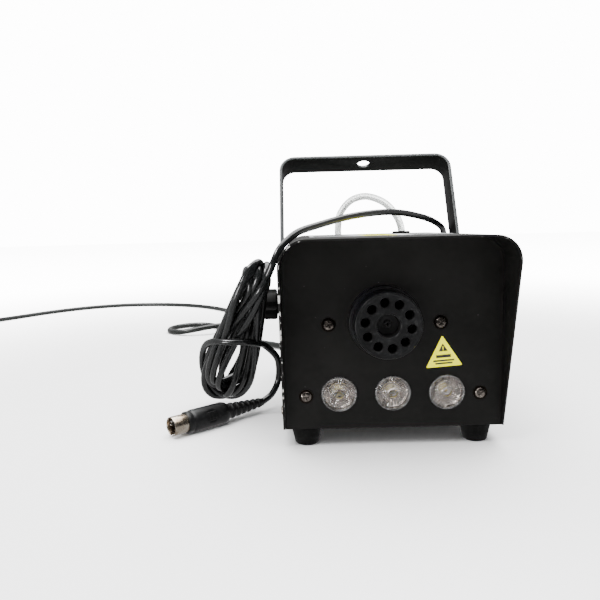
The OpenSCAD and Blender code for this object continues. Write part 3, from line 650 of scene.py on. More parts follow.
@dataclass
class Studio:
    """The camera, the floor and the lights.

    The floor glows more with its distance until it meets the backdrop, and doesn't show in
    reflections. Two dark cards show only in reflections, and two of the lamps light gloss only.
    """

    eye: Point = (-0.05474, -0.47736, 0.1397)
    yaw: float = -0.411
    pitch: float = 7.042
    roll: float = -1.496
    lens: float = 34.8
    surround: float = 0.8
    backdrop: float = 14.0
    glow_from: float = 0.3
    glow_to: float = 1.3
    floor_lit: float = 3.0
    floor_size: float = 14.0
    sensor: float = 36.0

    def camera(self) -> bpy.types.Object:
        """Set up the camera by its place, its turn to the side, its tilt and its roll.

        Returns:
            The camera.
        """
        yaw, pitch, roll = (math.radians(a) for a in (self.yaw, self.pitch, self.roll))
        ahead = Vector((math.sin(yaw) * math.cos(pitch), math.cos(yaw) * math.cos(pitch), -math.sin(pitch)))
        across = Vector((math.cos(yaw), -math.sin(yaw), 0.0))
        up = across.cross(ahead)
        right = across * math.cos(roll) + up * math.sin(roll)
        top = up * math.cos(roll) - across * math.sin(roll)
        rest()
        bpy.ops.object.camera_add(location=self.eye)
        made = bpy.context.object
        made.name = "studio_camera"
        turn = Matrix((right, top, -ahead)).transposed()
        made.matrix_world = Matrix.Translation(self.eye) @ turn.to_4x4()
        made.data.lens, made.data.sensor_width = self.lens, self.sensor
        made.data.clip_start, made.data.clip_end = 0.01, 50.0
        bpy.context.scene.camera = made
        return made

    def lamp(self, name: str, place: Point, aim: Point, size: float, power: float,
             diffuse: bool = True) -> None:
        """Add one soft square light.

        Args:
            name: its name.
            place: where it hangs.
            aim: the point that it faces.
            size: the side of the square.
            power: its power in watts.
            diffuse: whether it lights matt surfaces too, or only shows as a highlight.
        """
        rest()
        bpy.ops.object.light_add(type="AREA", location=place)
        lamp = bpy.context.object
        lamp.name = name
        lamp.rotation_euler = (Vector(aim) - Vector(place)).to_track_quat("-Z", "Y").to_euler()
        lamp.data.size, lamp.data.energy = size, power
        lamp.visible_diffuse = diffuse

    def fade(self, look: bpy.types.Material) -> None:
        """Let the floor brighten with its distance from the machine until it meets the backdrop.

        Args:
            look: the floor's material.
        """
        nodes, links = look.node_tree.nodes, look.node_tree.links
        shader = next(n for n in nodes if n.type == "BSDF_PRINCIPLED")
        spot = nodes.new("ShaderNodeTexCoord")
        far = nodes.new("ShaderNodeVectorMath")
        far.operation = "LENGTH"
        glow = nodes.new("ShaderNodeMapRange")
        glow.interpolation_type = "SMOOTHSTEP"
        for name, value in (("From Min", self.glow_from), ("From Max", self.glow_to), ("To Min", 0.0),
                            ("To Max", self.backdrop - self.floor_lit)):
            glow.inputs[name].default_value = value
        shader.inputs["Emission Color"].default_value = (1.0, 1.0, 1.0, 1.0)
        links.new(spot.outputs["Object"], far.inputs[0])
        links.new(far.outputs["Value"], glow.inputs["Value"])
        links.new(glow.outputs["Result"], shader.inputs["Emission Strength"])

    def floor(self) -> None:
        """Lay the pale floor."""
        rest()
        bpy.ops.mesh.primitive_plane_add(size=self.floor_size)
        floor = bpy.context.object
        floor.name = "studio_floor"
        Finish("studio_floor", (0.93, 0.93, 0.93), (0.91, 0.91, 0.915), (0.7, 0.8), 1.5, 60.0, 0.02,
               specular=0.2).dress(floor)
        self.fade(floor.active_material)
        floor.visible_glossy = False

    def surroundings(self) -> None:
        """Colour the world: bright where the camera sees it, dim where it lights the machine."""
        world = bpy.data.worlds.new("studio_surround")
        world.use_nodes = True
        tree = world.node_tree
        glow = tree.nodes["Background"]
        path = tree.nodes.new("ShaderNodeLightPath")
        share = tree.nodes.new("ShaderNodeMapRange")
        share.inputs["To Min"].default_value = self.surround
        share.inputs["To Max"].default_value = self.backdrop
        tree.links.new(path.outputs["Is Camera Ray"], share.inputs["Value"])
        tree.links.new(share.outputs["Result"], glow.inputs["Strength"])
        glow.inputs["Color"].default_value = (1.0, 1.0, 1.0, 1.0)
        bpy.context.scene.world = world

    def cards(self) -> None:
        """Stand up the two dark cards that only reflections see."""
        for name, place, turn, size in (("dark_mat", (0.0, -0.61, 0.002), 0.0, (4.0, 0.6)),
                                        ("dark_card", (0.0, -0.9, 0.9), math.pi / 2, (4.0, 1.8))):
            rest()
            bpy.ops.mesh.primitive_plane_add(size=1.0, location=place, rotation=(turn, 0.0, 0.0))
            card = bpy.context.object
            card.name, card.scale = name, (*size, 1.0)
            SHADE_BLACK.dress(settle(card))
            card.visible_camera = card.visible_diffuse = card.visible_shadow = False
            card.visible_transmission = False

    def build(self) -> None:
        """Lay the floor, colour the surroundings, place the cards and hang the lights."""
        self.floor()
        self.surroundings()
        self.cards()
        self.lamp("overhead_light", (0.0, 0.3, 3.0), (0.0, 0.0, 0.0), 4.0, 500.0)
        self.lamp("high_left_light", (-0.9, -0.9, 1.2), (0.0, -0.05, 0.08), 0.5, 10.0)
        self.lamp("highlight", (-1.3, -0.5, 1.5), (-0.1, -0.05, 0.08), 0.35, 40.0, diffuse=False)
        self.lamp("low_glow", (-0.42, -0.3, 0.02), (-0.1, -0.08, 0.06), 0.12, 1.6, diffuse=False)


# ---------- leads ----------


@dataclass
class Lead:
    """A round lead that follows chosen points in millimetres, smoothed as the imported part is."""

    name: str
    diameter: float
    route: list[Point]
    steps: int = 6

    def line(self) -> list[Vector]:
        """Give the smooth centreline in metres."""
        p = [Vector(q) * MM for q in self.route]
        last = len(p) - 1
        made = []
        for i in range(last):
            a, b, c, d = p[max(i - 1, 0)], p[i], p[i + 1], p[min(i + 2, last)]
            for k in range(self.steps):
                t = k / self.steps
                made.append(0.5 * (2 * b + (c - a) * t + (2 * a - 5 * b + 4 * c - d) * t ** 2
                                   + (3 * b - a - 3 * c + d) * t ** 3))
        return [*made, p[last]]

    def length(self) -> float:
        """Give the centreline's length in metres."""
        return sum((b - a).length for a, b in pairwise(self.line()))

    def build(self) -> bpy.types.Object:
        """Make the lead as one open spline with a round section.

        Returns:
            The curve object.
        """
        curve = bpy.data.curves.new(self.name, "CURVE")
        curve.dimensions = "3D"
        curve.bevel_depth, curve.bevel_resolution = self.diameter / 2, 5
        curve.use_fill_caps = True
        line = self.line()
        spline = curve.splines.new("POLY")
        spline.points.add(len(line) - 1)
        for point, place in zip(spline.points, line):
            point.co = (*place, 1.0)
        spline.use_smooth = True
        made = bpy.data.objects.new(self.name, curve)
        bpy.context.scene.collection.objects.link(made)
        return made


@dataclass
class Hank:
    """The turns of the remote's lead that stand beside the case.

    The turns are eased apart, but not until they are clear: strands still cut into each other, and
    some folds are tighter than 3 diameters.
    """

    base: Point = (-115.5, -34.5, 31.5)
    turn: Point = (26.8, 20.0, 0.0)
    diameter: float = 5.0
    radii: tuple[float, ...] = (23.0, 17.0, 20.5, 16.0, 22.0, 16.5, 19.0, 23.5)
    leans: tuple[float, ...] = (8.0, 50.0, -22.0, 64.0, 0.0, -56.0, 30.0, -6.0)
    lifts: tuple[float, ...] = (-10.0, -7.0, -9.0, -8.0, -6.0, -9.0, -6.0, -8.0)
    tops: tuple[float, ...] = (6.0, -8.0, 0.0, 8.0, -4.0, 3.5, -7.0, 5.0)
    depth: float = 12.5
    neck: float = 92.0
    rounds: int = 60
    plug_line: tuple[Point, Point] = ((-147.5, -96.5, 8.0), (-89.0, -44.0, 8.0))
    plug_gap: float = 11.0
    case_x: float = -73.5
    near: int = 3
    push: float = 0.3
    pull: float = 0.03
    floor_gap: float = 0.3
    plug_slim: float = 3.5

    def world(self, across: float, deep: float, up: float) -> Vector:
        """Give a point of the hank in millimetres of the machine's frame."""
        euler = Euler([math.radians(a) for a in self.turn], "XYZ")
        return Vector(self.base) + euler.to_matrix() @ Vector((across, deep, up))

    def low_fold(self, i: int, start: int) -> list[Point]:
        """Give the fold at the bottom of turn i, from the side start (-1 left, 1 right)."""
        r, lean, lift = self.radii[i], math.radians(self.leans[i]), self.lifts[i]
        made = []
        for angle in (0, 36, 72, 108, 144, 180):
            a = math.radians(angle)
            out = start * r * math.cos(a)
            made.append((out * math.cos(lean), out * math.sin(lean), lift - r * math.sin(a)))
        return made

    def top_fold(self, i: int) -> list[Point]:
        """Give the fold over the top between turn i and the next, from the back to the front."""
        a0, a1 = self.tops[i], self.tops[i + 1]
        made = []
        for angle in (0, 45, 90, 135, 180):
            a = math.radians(angle)
            made.append((a0 + (a1 - a0) * angle / 180, self.depth * math.cos(a),
                         self.neck - 0.5 * abs(a0) + self.depth * math.sin(a)))
        return made

    def drawn(self) -> list[Vector]:
        """Give the turns as they are wound, before they settle.

        Returns:
            The points in millimetres.
        """
        here = (self.tops[0], -self.depth, self.neck - 4)
        local = [here]
        last = len(self.radii) - 1
        for i in range(last + 1):
            low = self.low_fold(i, -1 if i < last else 1)
            ends = [(here, low[0])] + ([(low[-1], self.top_fold(i)[0])] if i < last else [])
            for k, (a, b) in enumerate(ends):
                local += [tuple(Vector(a).lerp(Vector(b), t)) for t in (0.2, 0.4, 0.6, 0.8)]
                local += low if k == 0 else self.top_fold(i)
            here = local[-1]
        local += [(-25.5, 5.0, 12.0), (-25.0, -4.0, 25.0), (-18.0, -13.0, 36.5), (-6.0, -17.5, 43.0),
                  (7.0, -15.0, 44.0), (16.0, -7.0, 40.0)]
        return [self.world(*p) for p in local]

    def points(self) -> list[Point]:
        """Ease the strands away from each other, the floor, the plug and the case, round by round.

        A share of each overlap is pushed out per round, and each point is pulled a little towards the
        middle of its neighbours, so overlaps get smaller and don't end.

        Returns:
            The points in millimetres.
        """
        line = [p.copy() for p in self.drawn()]
        a, b = (Vector(p) for p in self.plug_line)
        along = b - a
        ends = {0, 1, len(line) - 1, len(line) - 2}
        for _ in range(self.rounds):
            spread = [Vector() for _ in line]
            halves = [(i, (line[i] + line[i + 1]) / 2) for i in range(len(line) - 1)]
            for m, (i, p) in enumerate(halves):
                for j, q in halves[m + self.near:]:
                    apart = p - q
                    if 0.01 < apart.length < self.diameter:
                        push = apart.normalized() * (self.diameter - apart.length) * self.push
                        for k in (i, i + 1):
                            spread[k] += push / 2
                        for k in (j, j + 1):
                            spread[k] -= push / 2
            for k, point in enumerate(line):
                if k in ends:
                    continue
                point += spread[k]
                point += ((line[k - 1] + line[k + 1]) / 2 - point) * self.pull
                point.z = max(point.z, self.diameter / 2 + self.floor_gap)
                point.x = min(point.x, self.case_x)
                t = max(0.0, min(1.0, (point - a).dot(along) / along.length_squared))
                off = point - (a + along * t)
                reach = self.plug_gap - self.plug_slim * t
                if off.length < reach:
                    point += off.normalized() * (reach - off.length)
        return [tuple(p) for p in line]


@dataclass
class Leads:
    """The remote's lead with its hank, and the mains lead."""

    remote_exit: Point = (0.084, 0.130, 0.012)
    mains_exit: Point = (-0.052, 0.112, 0.030)
    remote_d: float = 0.005
    mains_d: float = 0.0068
    remote_route: list[Point] = field(default_factory=lambda: [
        (84, 130, 12), (100, 129, 9.5), (113, 121, 5), (117, 108, 2.9), (109, 94, 2.9), (96, 84, 5),
        (84, 77, 15), (77.5, 72, 32), (75, 70, 52), (74.5, 69, 72), (74, 67, 90), (73.5, 61, 107),
        (73, 54, 118), (72, 45, 126.5), (69, 35, 132.5), (63.5, 23, 138.5), (51, 11, 144.5),
        (34, -3, 148.5), (16, -18, 150.5), (-4, -34, 149.5), (-24, -50, 146.5), (-44, -66, 141.5),
        (-57, -77, 137.5), (-65, -83, 132), (-70.5, -87, 126), (-74.5, -89, 118), (-79, -86, 108)])
    remote_tail: list[Point] = field(default_factory=lambda: [
        (-85, -49, 53), (-77, -43, 43), (-75.5, -37, 32), (-77, -35, 21), (-82, -38, 12), (-89, -44, 8)])
    mains_route: list[Point] = field(default_factory=lambda: [
        (-52, 112, 30), (-52, 132, 27), (-58, 154, 16), (-74, 178, 5.6), (-100, 206, 3.6),
        (-130, 236, 3.4), (-155, 264, 3.4), (-168, 290, 3.4), (-173, 315, 3.4), (-178, 336, 3.4),
        (-188, 352, 3.4), (-203, 361, 3.4), (-219, 361, 3.4), (-234, 352, 3.4), (-243, 337, 3.4),
        (-243, 319, 3.4), (-234, 304, 3.6), (-219, 295, 5), (-201, 294, 8), (-184, 298, 10.3),
        (-168, 308, 10.3), (-157, 326, 7), (-151, 352, 3.8), (-151, 400, 3.4), (-164, 458, 3.4),
        (-200, 524, 3.4), (-254, 578, 3.4), (-322, 610, 3.4), (-394, 614, 3.4), (-456, 588, 3.4),
        (-504, 540, 3.4), (-540, 484, 3.4), (-558, 440, 5), (-568, 404, 8)])

    def remote(self, with_pieces: Iterable[bpy.types.Object]) -> bpy.types.Object:
        """Lay the remote's lead from the handset over the roof, through its hank, to its plug.

        Args:
            with_pieces: the plug's pieces; not used.

        Returns:
            The lead.
        """
        route = self.remote_route + Hank().points() + self.remote_tail
        lead = Lead("remote_lead", self.remote_d, route)
        made = own(lead.build(), Body.MACHINE, CORD_BLACK, "cord_black", "remote_cord", "remote_hank")
        return made

    def mains(self, with_pieces: Iterable[bpy.types.Object]) -> bpy.types.Object:
        """Lay the mains lead from its gland across the floor to its plug.

        Args:
            with_pieces: the plug's pieces; not used.

        Returns:
            The lead.
        """
        lead = Lead("mains_lead", self.mains_d, self.mains_route)
        made = own(lead.build(), Body.MACHINE, MAINS_BLACK, "cord_black", "mains_cord")
        return made


# ---------- case ----------


@dataclass
class Case:
    """The folded cover with its hood, and the screws that hold the case together."""

    half_w: float = 70.0
    front: float = -152.0
    panel: float = -120.0
    back: float = 85.0
    low: float = 12.5
    top: float = 133.5
    corner: float = 17.0
    sheet: float = 1.2
    roof_end: float = 30.0
    tube_hole: Point = (29.0, 19.0, 125.0)
    pivot: Point = (-75.0, -16.0, 80.0)
    slots: tuple[int, ...] = (-96, -88, -80, -72, -64, -56, -48)

    def cover(self) -> bpy.types.Object:
        """Fold the cover from a block: round its long top edges, open it, give it its thickness and cut it.

        Returns:
            The cover.
        """
        w = self.half_w
        made = bar("case_cover", (-w, self.front, self.low), (w, self.back, self.top))
        edit(made, "EDGE", lambda e: all(v.co.z > 0.13 for v in e.verts)
             and abs(e.verts[0].co.x - e.verts[1].co.x) < TINY)
        bpy.ops.mesh.bevel(offset=self.corner * MM, segments=14, affect="EDGES")
        edit(made, "FACE", lambda f: abs(f.normal.y) > 0.9 or f.normal.z < -0.9)
        bpy.ops.mesh.delete(type="FACE")
        rest()
        modify(made, "SOLIDIFY", thickness=self.sheet * MM, offset=-1.0, use_even_offset=True)
        edit(made)
        ahead = Vector((0.0, -(self.top - self.sheet - self.low), self.front - self.panel + 1)).normalized()
        bpy.ops.mesh.bisect(plane_co=(0.0, (self.panel - 1) * MM, self.low * MM), plane_no=ahead,
                            use_fill=True, clear_outer=True)
        rest()
        clean(made)
        bay = bar("bay_tool", (10 - w, self.roof_end, self.top - 6), (w - 10, self.back + 5, self.top + 5))
        hole = rod("hole_tool", self.tube_hole, Axis.Z, 5.5, 20.0, 40)
        bolt = rod("bolt_tool", self.pivot, Axis.X, 3.2, 150.0)
        slots = [bar(f"slot_tool_{y}", (-w - 5, y, 52), (w + 5, y + 3, 80), 1.4, "X", 4) for y in self.slots]
        cut(made, bay, hole, bolt, joined(*slots))
        return own(soften(made, 0.28 * MM), Body.MACHINE, BLACK_COAT, "powder_coat", "cover")

    def head(self, name: str) -> bpy.types.Object:
        """Make one pan head with a cross recess and its stained washer, facing up at the origin."""
        made = turned(name, (0, 0, 0), Axis.Z, [
            (0, -0.6), (3.4, -0.6), (3.4, 0.75), (3.15, 1.15), (2.6, 1.5), (1.8, 1.7), (0, 1.8)], 40)
        arms = [bar(f"{name}_arm_{k}", (-2.1, -0.36, 0.75) if k else (-0.36, -2.1, 0.75),
                    (2.1, 0.36, 3) if k else (0.36, 2.1, 3)) for k in (0, 1)]
        cut(made, *arms)
        SCREW_NICKEL.dress(soften(made, 0.08 * MM, 2))
        ring = turned(f"{name}_ring", (0, 0, 0), Axis.Z, [
            (3.0, 0.0), (4.5, 0.0), (4.5, 0.22), (4.3, 0.32), (3.0, 0.32), (3.0, 0.0)], 40)
        return joined(made, NICKEL_DARK.dress(ring))

    def screws(self) -> None:
        """Set the four front screws and the six screws of the cover."""
        head = self.head("screw_head")
        front = [((-40, 79.5), 28), ((30, 79.5), 52), ((-55, 33.8), 8), ((55, 33.8), 40)]
        turn = Matrix.Rotation(math.radians(90), 4, "X")
        made = [copied(head, f"front_screw_{k}", (x * MM, self.panel * MM, z * MM),
                       turn @ Matrix.Rotation(math.radians(a), 4, "Z"))
                for k, ((x, z), a) in enumerate(front)]
        own(joined(*made), Body.MACHINE, NICKEL, "black_nickel", "front_screws").name = "front_screw_heads"
        made = []
        for k, (side, y) in enumerate((s, y) for s in (-1, 1) for y in (-102, 8, 76)):
            turn = Matrix.Rotation(math.radians(90 * side), 4, "Y") @ Matrix.Rotation(0.7 * k, 4, "Z")
            made.append(copied(head, f"cover_screw_{k}", (side * 70 * MM, y * MM, 19.5 * MM), turn))
        own(joined(*made), Body.MACHINE, NICKEL, "black_nickel", "cover_screws").name = "cover_screw_heads"
        bpy.data.objects.remove(head)

    def build(self) -> None:
        """Make the cover and the screws."""
        self.cover()
        self.screws()


@dataclass
class Foot:
    """A tapered rubber foot, hollow below for its screw."""

    places: dict[str, tuple[float, float]] = field(default_factory=lambda: {
        "front_left": (-55, -109), "front_right": (55, -109), "rear_left": (-55, 70),
        "rear_right": (55, 70)})

    def build(self) -> None:
        """Turn one foot and set four of them under the pan."""
        first = turned("foot", (0, 0, 0), Axis.Z, [
            (4.4, 5), (4.4, 0.3), (4.7, 0), (6.2, 0), (7.3, 0.4), (7.8, 1.1), (8.05, 2.2), (8.6, 4.8),
            (8.75, 5.0), (8.85, 5.4), (10.0, 10.9), (10.05, 11.7), (9.8, 12.3), (9.2, 12.5), (2.2, 12.5),
            (2.2, 5), (4.4, 5)], 72)
        soften(first, 0.15 * MM)
        for name, (x, y) in self.places.items():
            made = copied(first, f"rubber_foot_{name}", (x * MM, y * MM, 0.0))
            own(made, Body.MACHINE, RUBBER, "rubber", f"foot_{name}")
        bpy.data.objects.remove(first)


# ---------- nozzle ----------


@dataclass
class Nozzle:
    """The round fog outlet: cap with ten air holes, deep mouth and jet, on its flange."""

    place: Point = (-0.005, -0.120, 0.081)
    pcd: float = 28.0
    holes: int = 10
    first_hole: float = 99.0

    def cap(self) -> bpy.types.Object:
        """Turn the cap, sink its mouth and drill the ring of air holes.

        Returns:
            The cap.
        """
        made = turned("outlet_cap", self.place, Axis.FRONT, [
            (0, 3), (19.4, 3), (20.1, 3.3), (20.25, 4), (20.25, 18.6), (20.1, 19.1), (19.7, 19.5),
            (19.1, 19.6), (18.6, 19.5), (18.3, 19.3), (8.1, 19.3), (7.8, 19.5), (7.4, 19.5), (7.1, 19.2),
            (7.0, 18.6), (6.9, 12.2), (6.4, 11.6), (2.4, 11.2), (2.2, 12.0), (1.9, 12.9), (1.1, 13.1),
            (0.8, 12.9), (0.7, 9.0), (0, 9.0)], 96)
        tools = []
        for k in range(self.holes):
            a = math.radians(self.first_hole + 360 * k / self.holes)
            spot = Vector(self.place) + Vector((math.cos(a), 0.0, math.sin(a))) * self.pcd / 2 * MM
            tools.append(turned(f"air_tool_{k}", tuple(spot), Axis.FRONT, [
                (0, 6), (2.8, 6), (2.9, 18.7), (3.3, 19.31), (3.6, 22), (0, 22)], 36))
        cut(made, joined(*tools))
        CAP_PLASTIC.dress(soften(made, 0.06 * MM, 2, 28.0))
        face = (self.place[1] - 18.6 * MM, self.place[1] - 4 * MM)
        # The walls of the mouth and the air holes take the near-black rough finish as painted shade.
        touch_up(made, SHADE_BLACK, lambda f: face[0] < f.calc_center_median().y < face[1] and math.hypot(
            f.calc_center_median().x - self.place[0], f.calc_center_median().z - self.place[2]) < 18.5 * MM)
        return own(made, Body.MACHINE, CAP_PLASTIC, "dark_plastic", "nozzle_cap")

    def flange(self) -> bpy.types.Object:
        """Turn the flange that the cap sits on."""
        made = turned("outlet_flange", self.place, Axis.FRONT, [
            (6.1, 0), (22.5, 0), (22.5, 1.9), (22.2, 2.6), (21.5, 3), (6.1, 3), (6.1, 0)], 96)
        return own(soften(made, 0.15 * MM), Body.MACHINE, BASE_PLASTIC, "dark_plastic", "nozzle_base")

    def build(self) -> None:
        """Make the cap and the flange."""
        self.cap()
        self.flange()


# ---------- lights ----------


@dataclass(frozen=True)
class LensClear(Finish):
    """Clear moulded plastic with a fine ripple."""

    def relief_of(self, board: Board, spot: bpy.types.NodeSocket) -> bpy.types.NodeSocket:
        """Give the ripple left by the mould."""
        return board.add("TexVoronoi", {"Vector": spot, "Scale": self.grain}).outputs["Distance"]


LENS_CLEAR = LensClear("lens_clear", (0.93, 0.92, 0.91), (0.86, 0.85, 0.84), (0.0, 0.04), 400.0, 500.0,
                       0.04, clear=1.0, ior=1.42, depth=0.0001)
LENS_RIM = Brushed("lens_rim", (0.30, 0.30, 0.30), (0.17, 0.165, 0.16), (0.16, 0.3), 400.0, 900.0, 0.1,
                   metallic=0.9)
REFLECTOR = LensClear("reflector", (0.62, 0.585, 0.555), (0.12, 0.095, 0.08), (0.04, 0.14), 300.0, 500.0,
                      0.35, metallic=1.0, depth=0.0004)


@dataclass
class Lights:
    """Three lamps: rim, fluted reflector and a moulded lens with a dimpled face and a small dome."""

    pitch: float = 34.0
    height: float = 34.8
    back: float = -109.1
    sectors: int = 30

    def optic(self) -> bpy.types.Object:
        """Mould one lens: rings of small facets round a dome, each pressed in on its own.

        Returns:
            The lens, facing up at the origin.
        """
        rings = [(10.0, 10.35), (7.2, 10.7), (6.0, 10.8), (4.9, 10.85), (3.9, 10.85)]
        made = turned("optic", (0, 0, 0), Axis.Z, [
            (0, 8.8), (9.6, 8.8), (10.0, 9.2), *rings, (3.2, 10.6), (2.9, 10.9), (2.5, 11.35), (1.8, 11.7),
            (0.9, 11.85), (0, 11.9)], self.sectors)
        edit(made, "FACE", lambda f: f.normal.z > 0.8
             and 3.6 * MM < f.calc_center_median().xy.length < 9.9 * MM)
        bpy.ops.mesh.inset(use_individual=True, thickness=0.2 * MM, depth=-0.14 * MM)
        rest()
        take(made)
        bpy.ops.object.shade_smooth_by_angle(angle=math.radians(24))
        return LENS_CLEAR.dress(made)

    def reflector(self) -> bpy.types.Object:
        """Press the fluted bowl behind the lens.

        Returns:
            The bowl, facing up at the origin.
        """
        made = turned("reflector", (0, 0, 0), Axis.Z, [
            (10.0, 8.5), (9.0, 7.4), (7.8, 6.0), (6.4, 4.4), (5.0, 3.0), (4.0, 2.2), (3.2, 2.0), (3.2, 1.2),
            (4.4, 1.3), (10.0, 7.2), (10.0, 8.5)], 2 * self.sectors)
        edit(made, "VERT", lambda v: v.co.z > 2.1 * MM and 3.9 * MM < v.co.xy.length < 9.5 * MM
             and round(math.atan2(v.co.y, v.co.x) / math.tau * 2 * self.sectors) % 2 == 0)
        bpy.ops.transform.resize(value=(0.94, 0.94, 1.0), center_override=(0.0, 0.0, 0.0))
        rest()
        return REFLECTOR.dress(made)

    def build(self) -> None:
        """Put one lamp together, copy it to its three places and turn each a little."""
        rim = turned("rim", (0, 0, 0), Axis.Z, [
            (10.05, 0), (11.3, 0), (11.3, 11.3), (11.1, 11.75), (10.75, 11.9), (10.35, 11.75),
            (10.1, 11.2), (10.05, 0)], 72)
        lamp = joined(LENS_RIM.dress(soften(rim, 0.1 * MM)), self.optic(), self.reflector())
        face = Matrix.Rotation(math.radians(90), 4, "X")
        for k, (side, turn) in enumerate((("left", 3.0), ("middle", 14.0), ("right", 31.0))):
            made = copied(lamp, f"lamp_lens_{side}", ((k - 1) * self.pitch * MM, self.back * MM,
                                                      self.height * MM),
                          face @ Matrix.Rotation(math.radians(turn), 4, "Z"))
            own(made, Body.MACHINE, LENS_CLEAR, "lens", f"lens_{side}")
        bpy.data.objects.remove(lamp)


# ---------- handle ----------


@dataclass
class Handle:
    """The bent strip handle and its two star knobs."""

    pivot: Point = (0.0, -0.016, 0.080)
    tilt: float = 26.5
    half: float = 73.0
    reach: float = 129.5
    corner: float = 13.0
    width: float = 22.0
    strip: float = 2.5
    hole: float = 10.5
    knob_out: float = 73.15

    def path(self) -> list[tuple[float, float]]:
        """Give the strip's outer line, from the left leg's end over the bar to the right leg's."""
        r, top = self.corner, self.reach
        left = [(-self.half, -self.width / 2), (-self.half, 40.0), (-self.half, top - r)]
        for k in range(1, 10):
            a = math.radians(180 - 10 * k)
            left.append((-self.half + r + r * math.cos(a), top - r + r * math.sin(a)))
        left.append((0.0, top))
        return left + [(-x, z) for x, z in reversed(left[:-1])]

    def strap(self) -> bpy.types.Object:
        """Bend the strip: an edge is drawn along the path, its ends rounded and its thickness given.

        Returns:
            The handle.
        """
        rest()
        line = [Vector((x, 0.0, z)) * MM for x, z in self.path()]
        bpy.ops.mesh.primitive_plane_add(size=self.width * MM, location=line[0])
        made = settle(bpy.context.object)
        made.name = "handle_strap"
        edit(made, "VERT", lambda v: v.co.x > line[0].x)
        bpy.ops.mesh.delete(type="VERT")
        edit(made, "VERT")
        bpy.ops.transform.translate(value=(line[0].x - made.data.vertices[0].co.x, 0.0, 0.0))
        bpy.ops.mesh.select_mode(type="EDGE")
        for a, b in pairwise(line):
            bpy.ops.mesh.extrude_edges_move(TRANSFORM_OT_translate={"value": tuple(b - a)})
        edit(made, "VERT", lambda v: v.co.z < line[0].z + 10 * TINY)
        bpy.ops.mesh.bevel(offset=self.width / 2 * 0.98 * MM, segments=9, affect="VERTICES")
        clean(made)
        shape = made.data
        crown = min(shape.polygons, key=lambda f: -f.center.z)
        if crown.normal.z < 0:
            edit(made)
            bpy.ops.mesh.flip_normals()
            rest()
        modify(made, "SOLIDIFY", thickness=self.strip * MM, offset=-1.0, use_even_offset=True)
        cut(made, rod("hang_tool", (0, 0, self.reach - 8), Axis.Z, self.hole / 2, 20.0, 48))
        SATIN_BLACK.dress(soften(made, 0.45 * MM, 3))
        # The strip's thin edge faces get the lighter painted-highlight colour and a glossier real sheen.
        touch_up(made, EDGE_HIGHLIGHT_PAINT, lambda f: abs(f.normal.y) > 0.5)
        made.rotation_euler = (-math.radians(self.tilt), 0.0, 0.0)
        made.location = self.pivot
        settle(made)
        return own(made, Body.HANDLE, SATIN_BLACK, "satin_black", "handle")

    def knob(self) -> bpy.types.Object:
        """Mould one star knob with its bolt, along Z from the origin.

        Returns:
            The knob.
        """
        made = turned("star_knob", (0, 0, 0), Axis.Z, [
            (0, 0), (7.6, 0), (8, 0.4), (8, 3), (11.0, 3.1), (11.9, 3.5), (12.2, 4.4), (12.2, 12.4),
            (11.7, 13.7), (10.5, 14.6), (9.0, 15.0), (5.2, 15.0), (4.8, 14.5), (4.6, 13.9), (0, 13.8)], 72)
        tools = []
        for k in range(6):
            a = math.radians(60 * k + 30)
            tools.append(rod(f"grip_tool_{k}", (14.4 * math.cos(a), 14.4 * math.sin(a), 2.9), Axis.Z, 4.1,
                             20.0))
        cut(made, joined(*tools))
        RUBBER.dress(soften(made, 0.5 * MM, 3, 30.0))
        bolt = turned("bolt", (0, 0, 0), Axis.Z, [(0, -13), (2.6, -13), (3, -12.6), (3, 1), (0, 1)], 32)
        cap = turned("bolt_end", (0, 0, 0), Axis.Z, [(0, 13.6), (3.6, 13.6), (3.5, 14.1), (0, 14.3)], 32)
        return joined(made, STEEL.dress(bolt), BLACK_PLASTIC.dress(cap))

    def build(self) -> None:
        """Make the strap and set a knob on each side."""
        self.strap()
        knob = self.knob()
        for side, body in ((-1, Body.KNOB_LEFT), (1, Body.KNOB_RIGHT)):
            made = copied(knob, f"handle_{body.value}",
                          (side * self.knob_out * MM, self.pivot[1], self.pivot[2]),
                          Matrix.Rotation(math.radians(90 * side), 4, "Y"))
            own(made, body, RUBBER, "rubber", body.value)
        bpy.data.objects.remove(knob)


# ---------- labels ----------


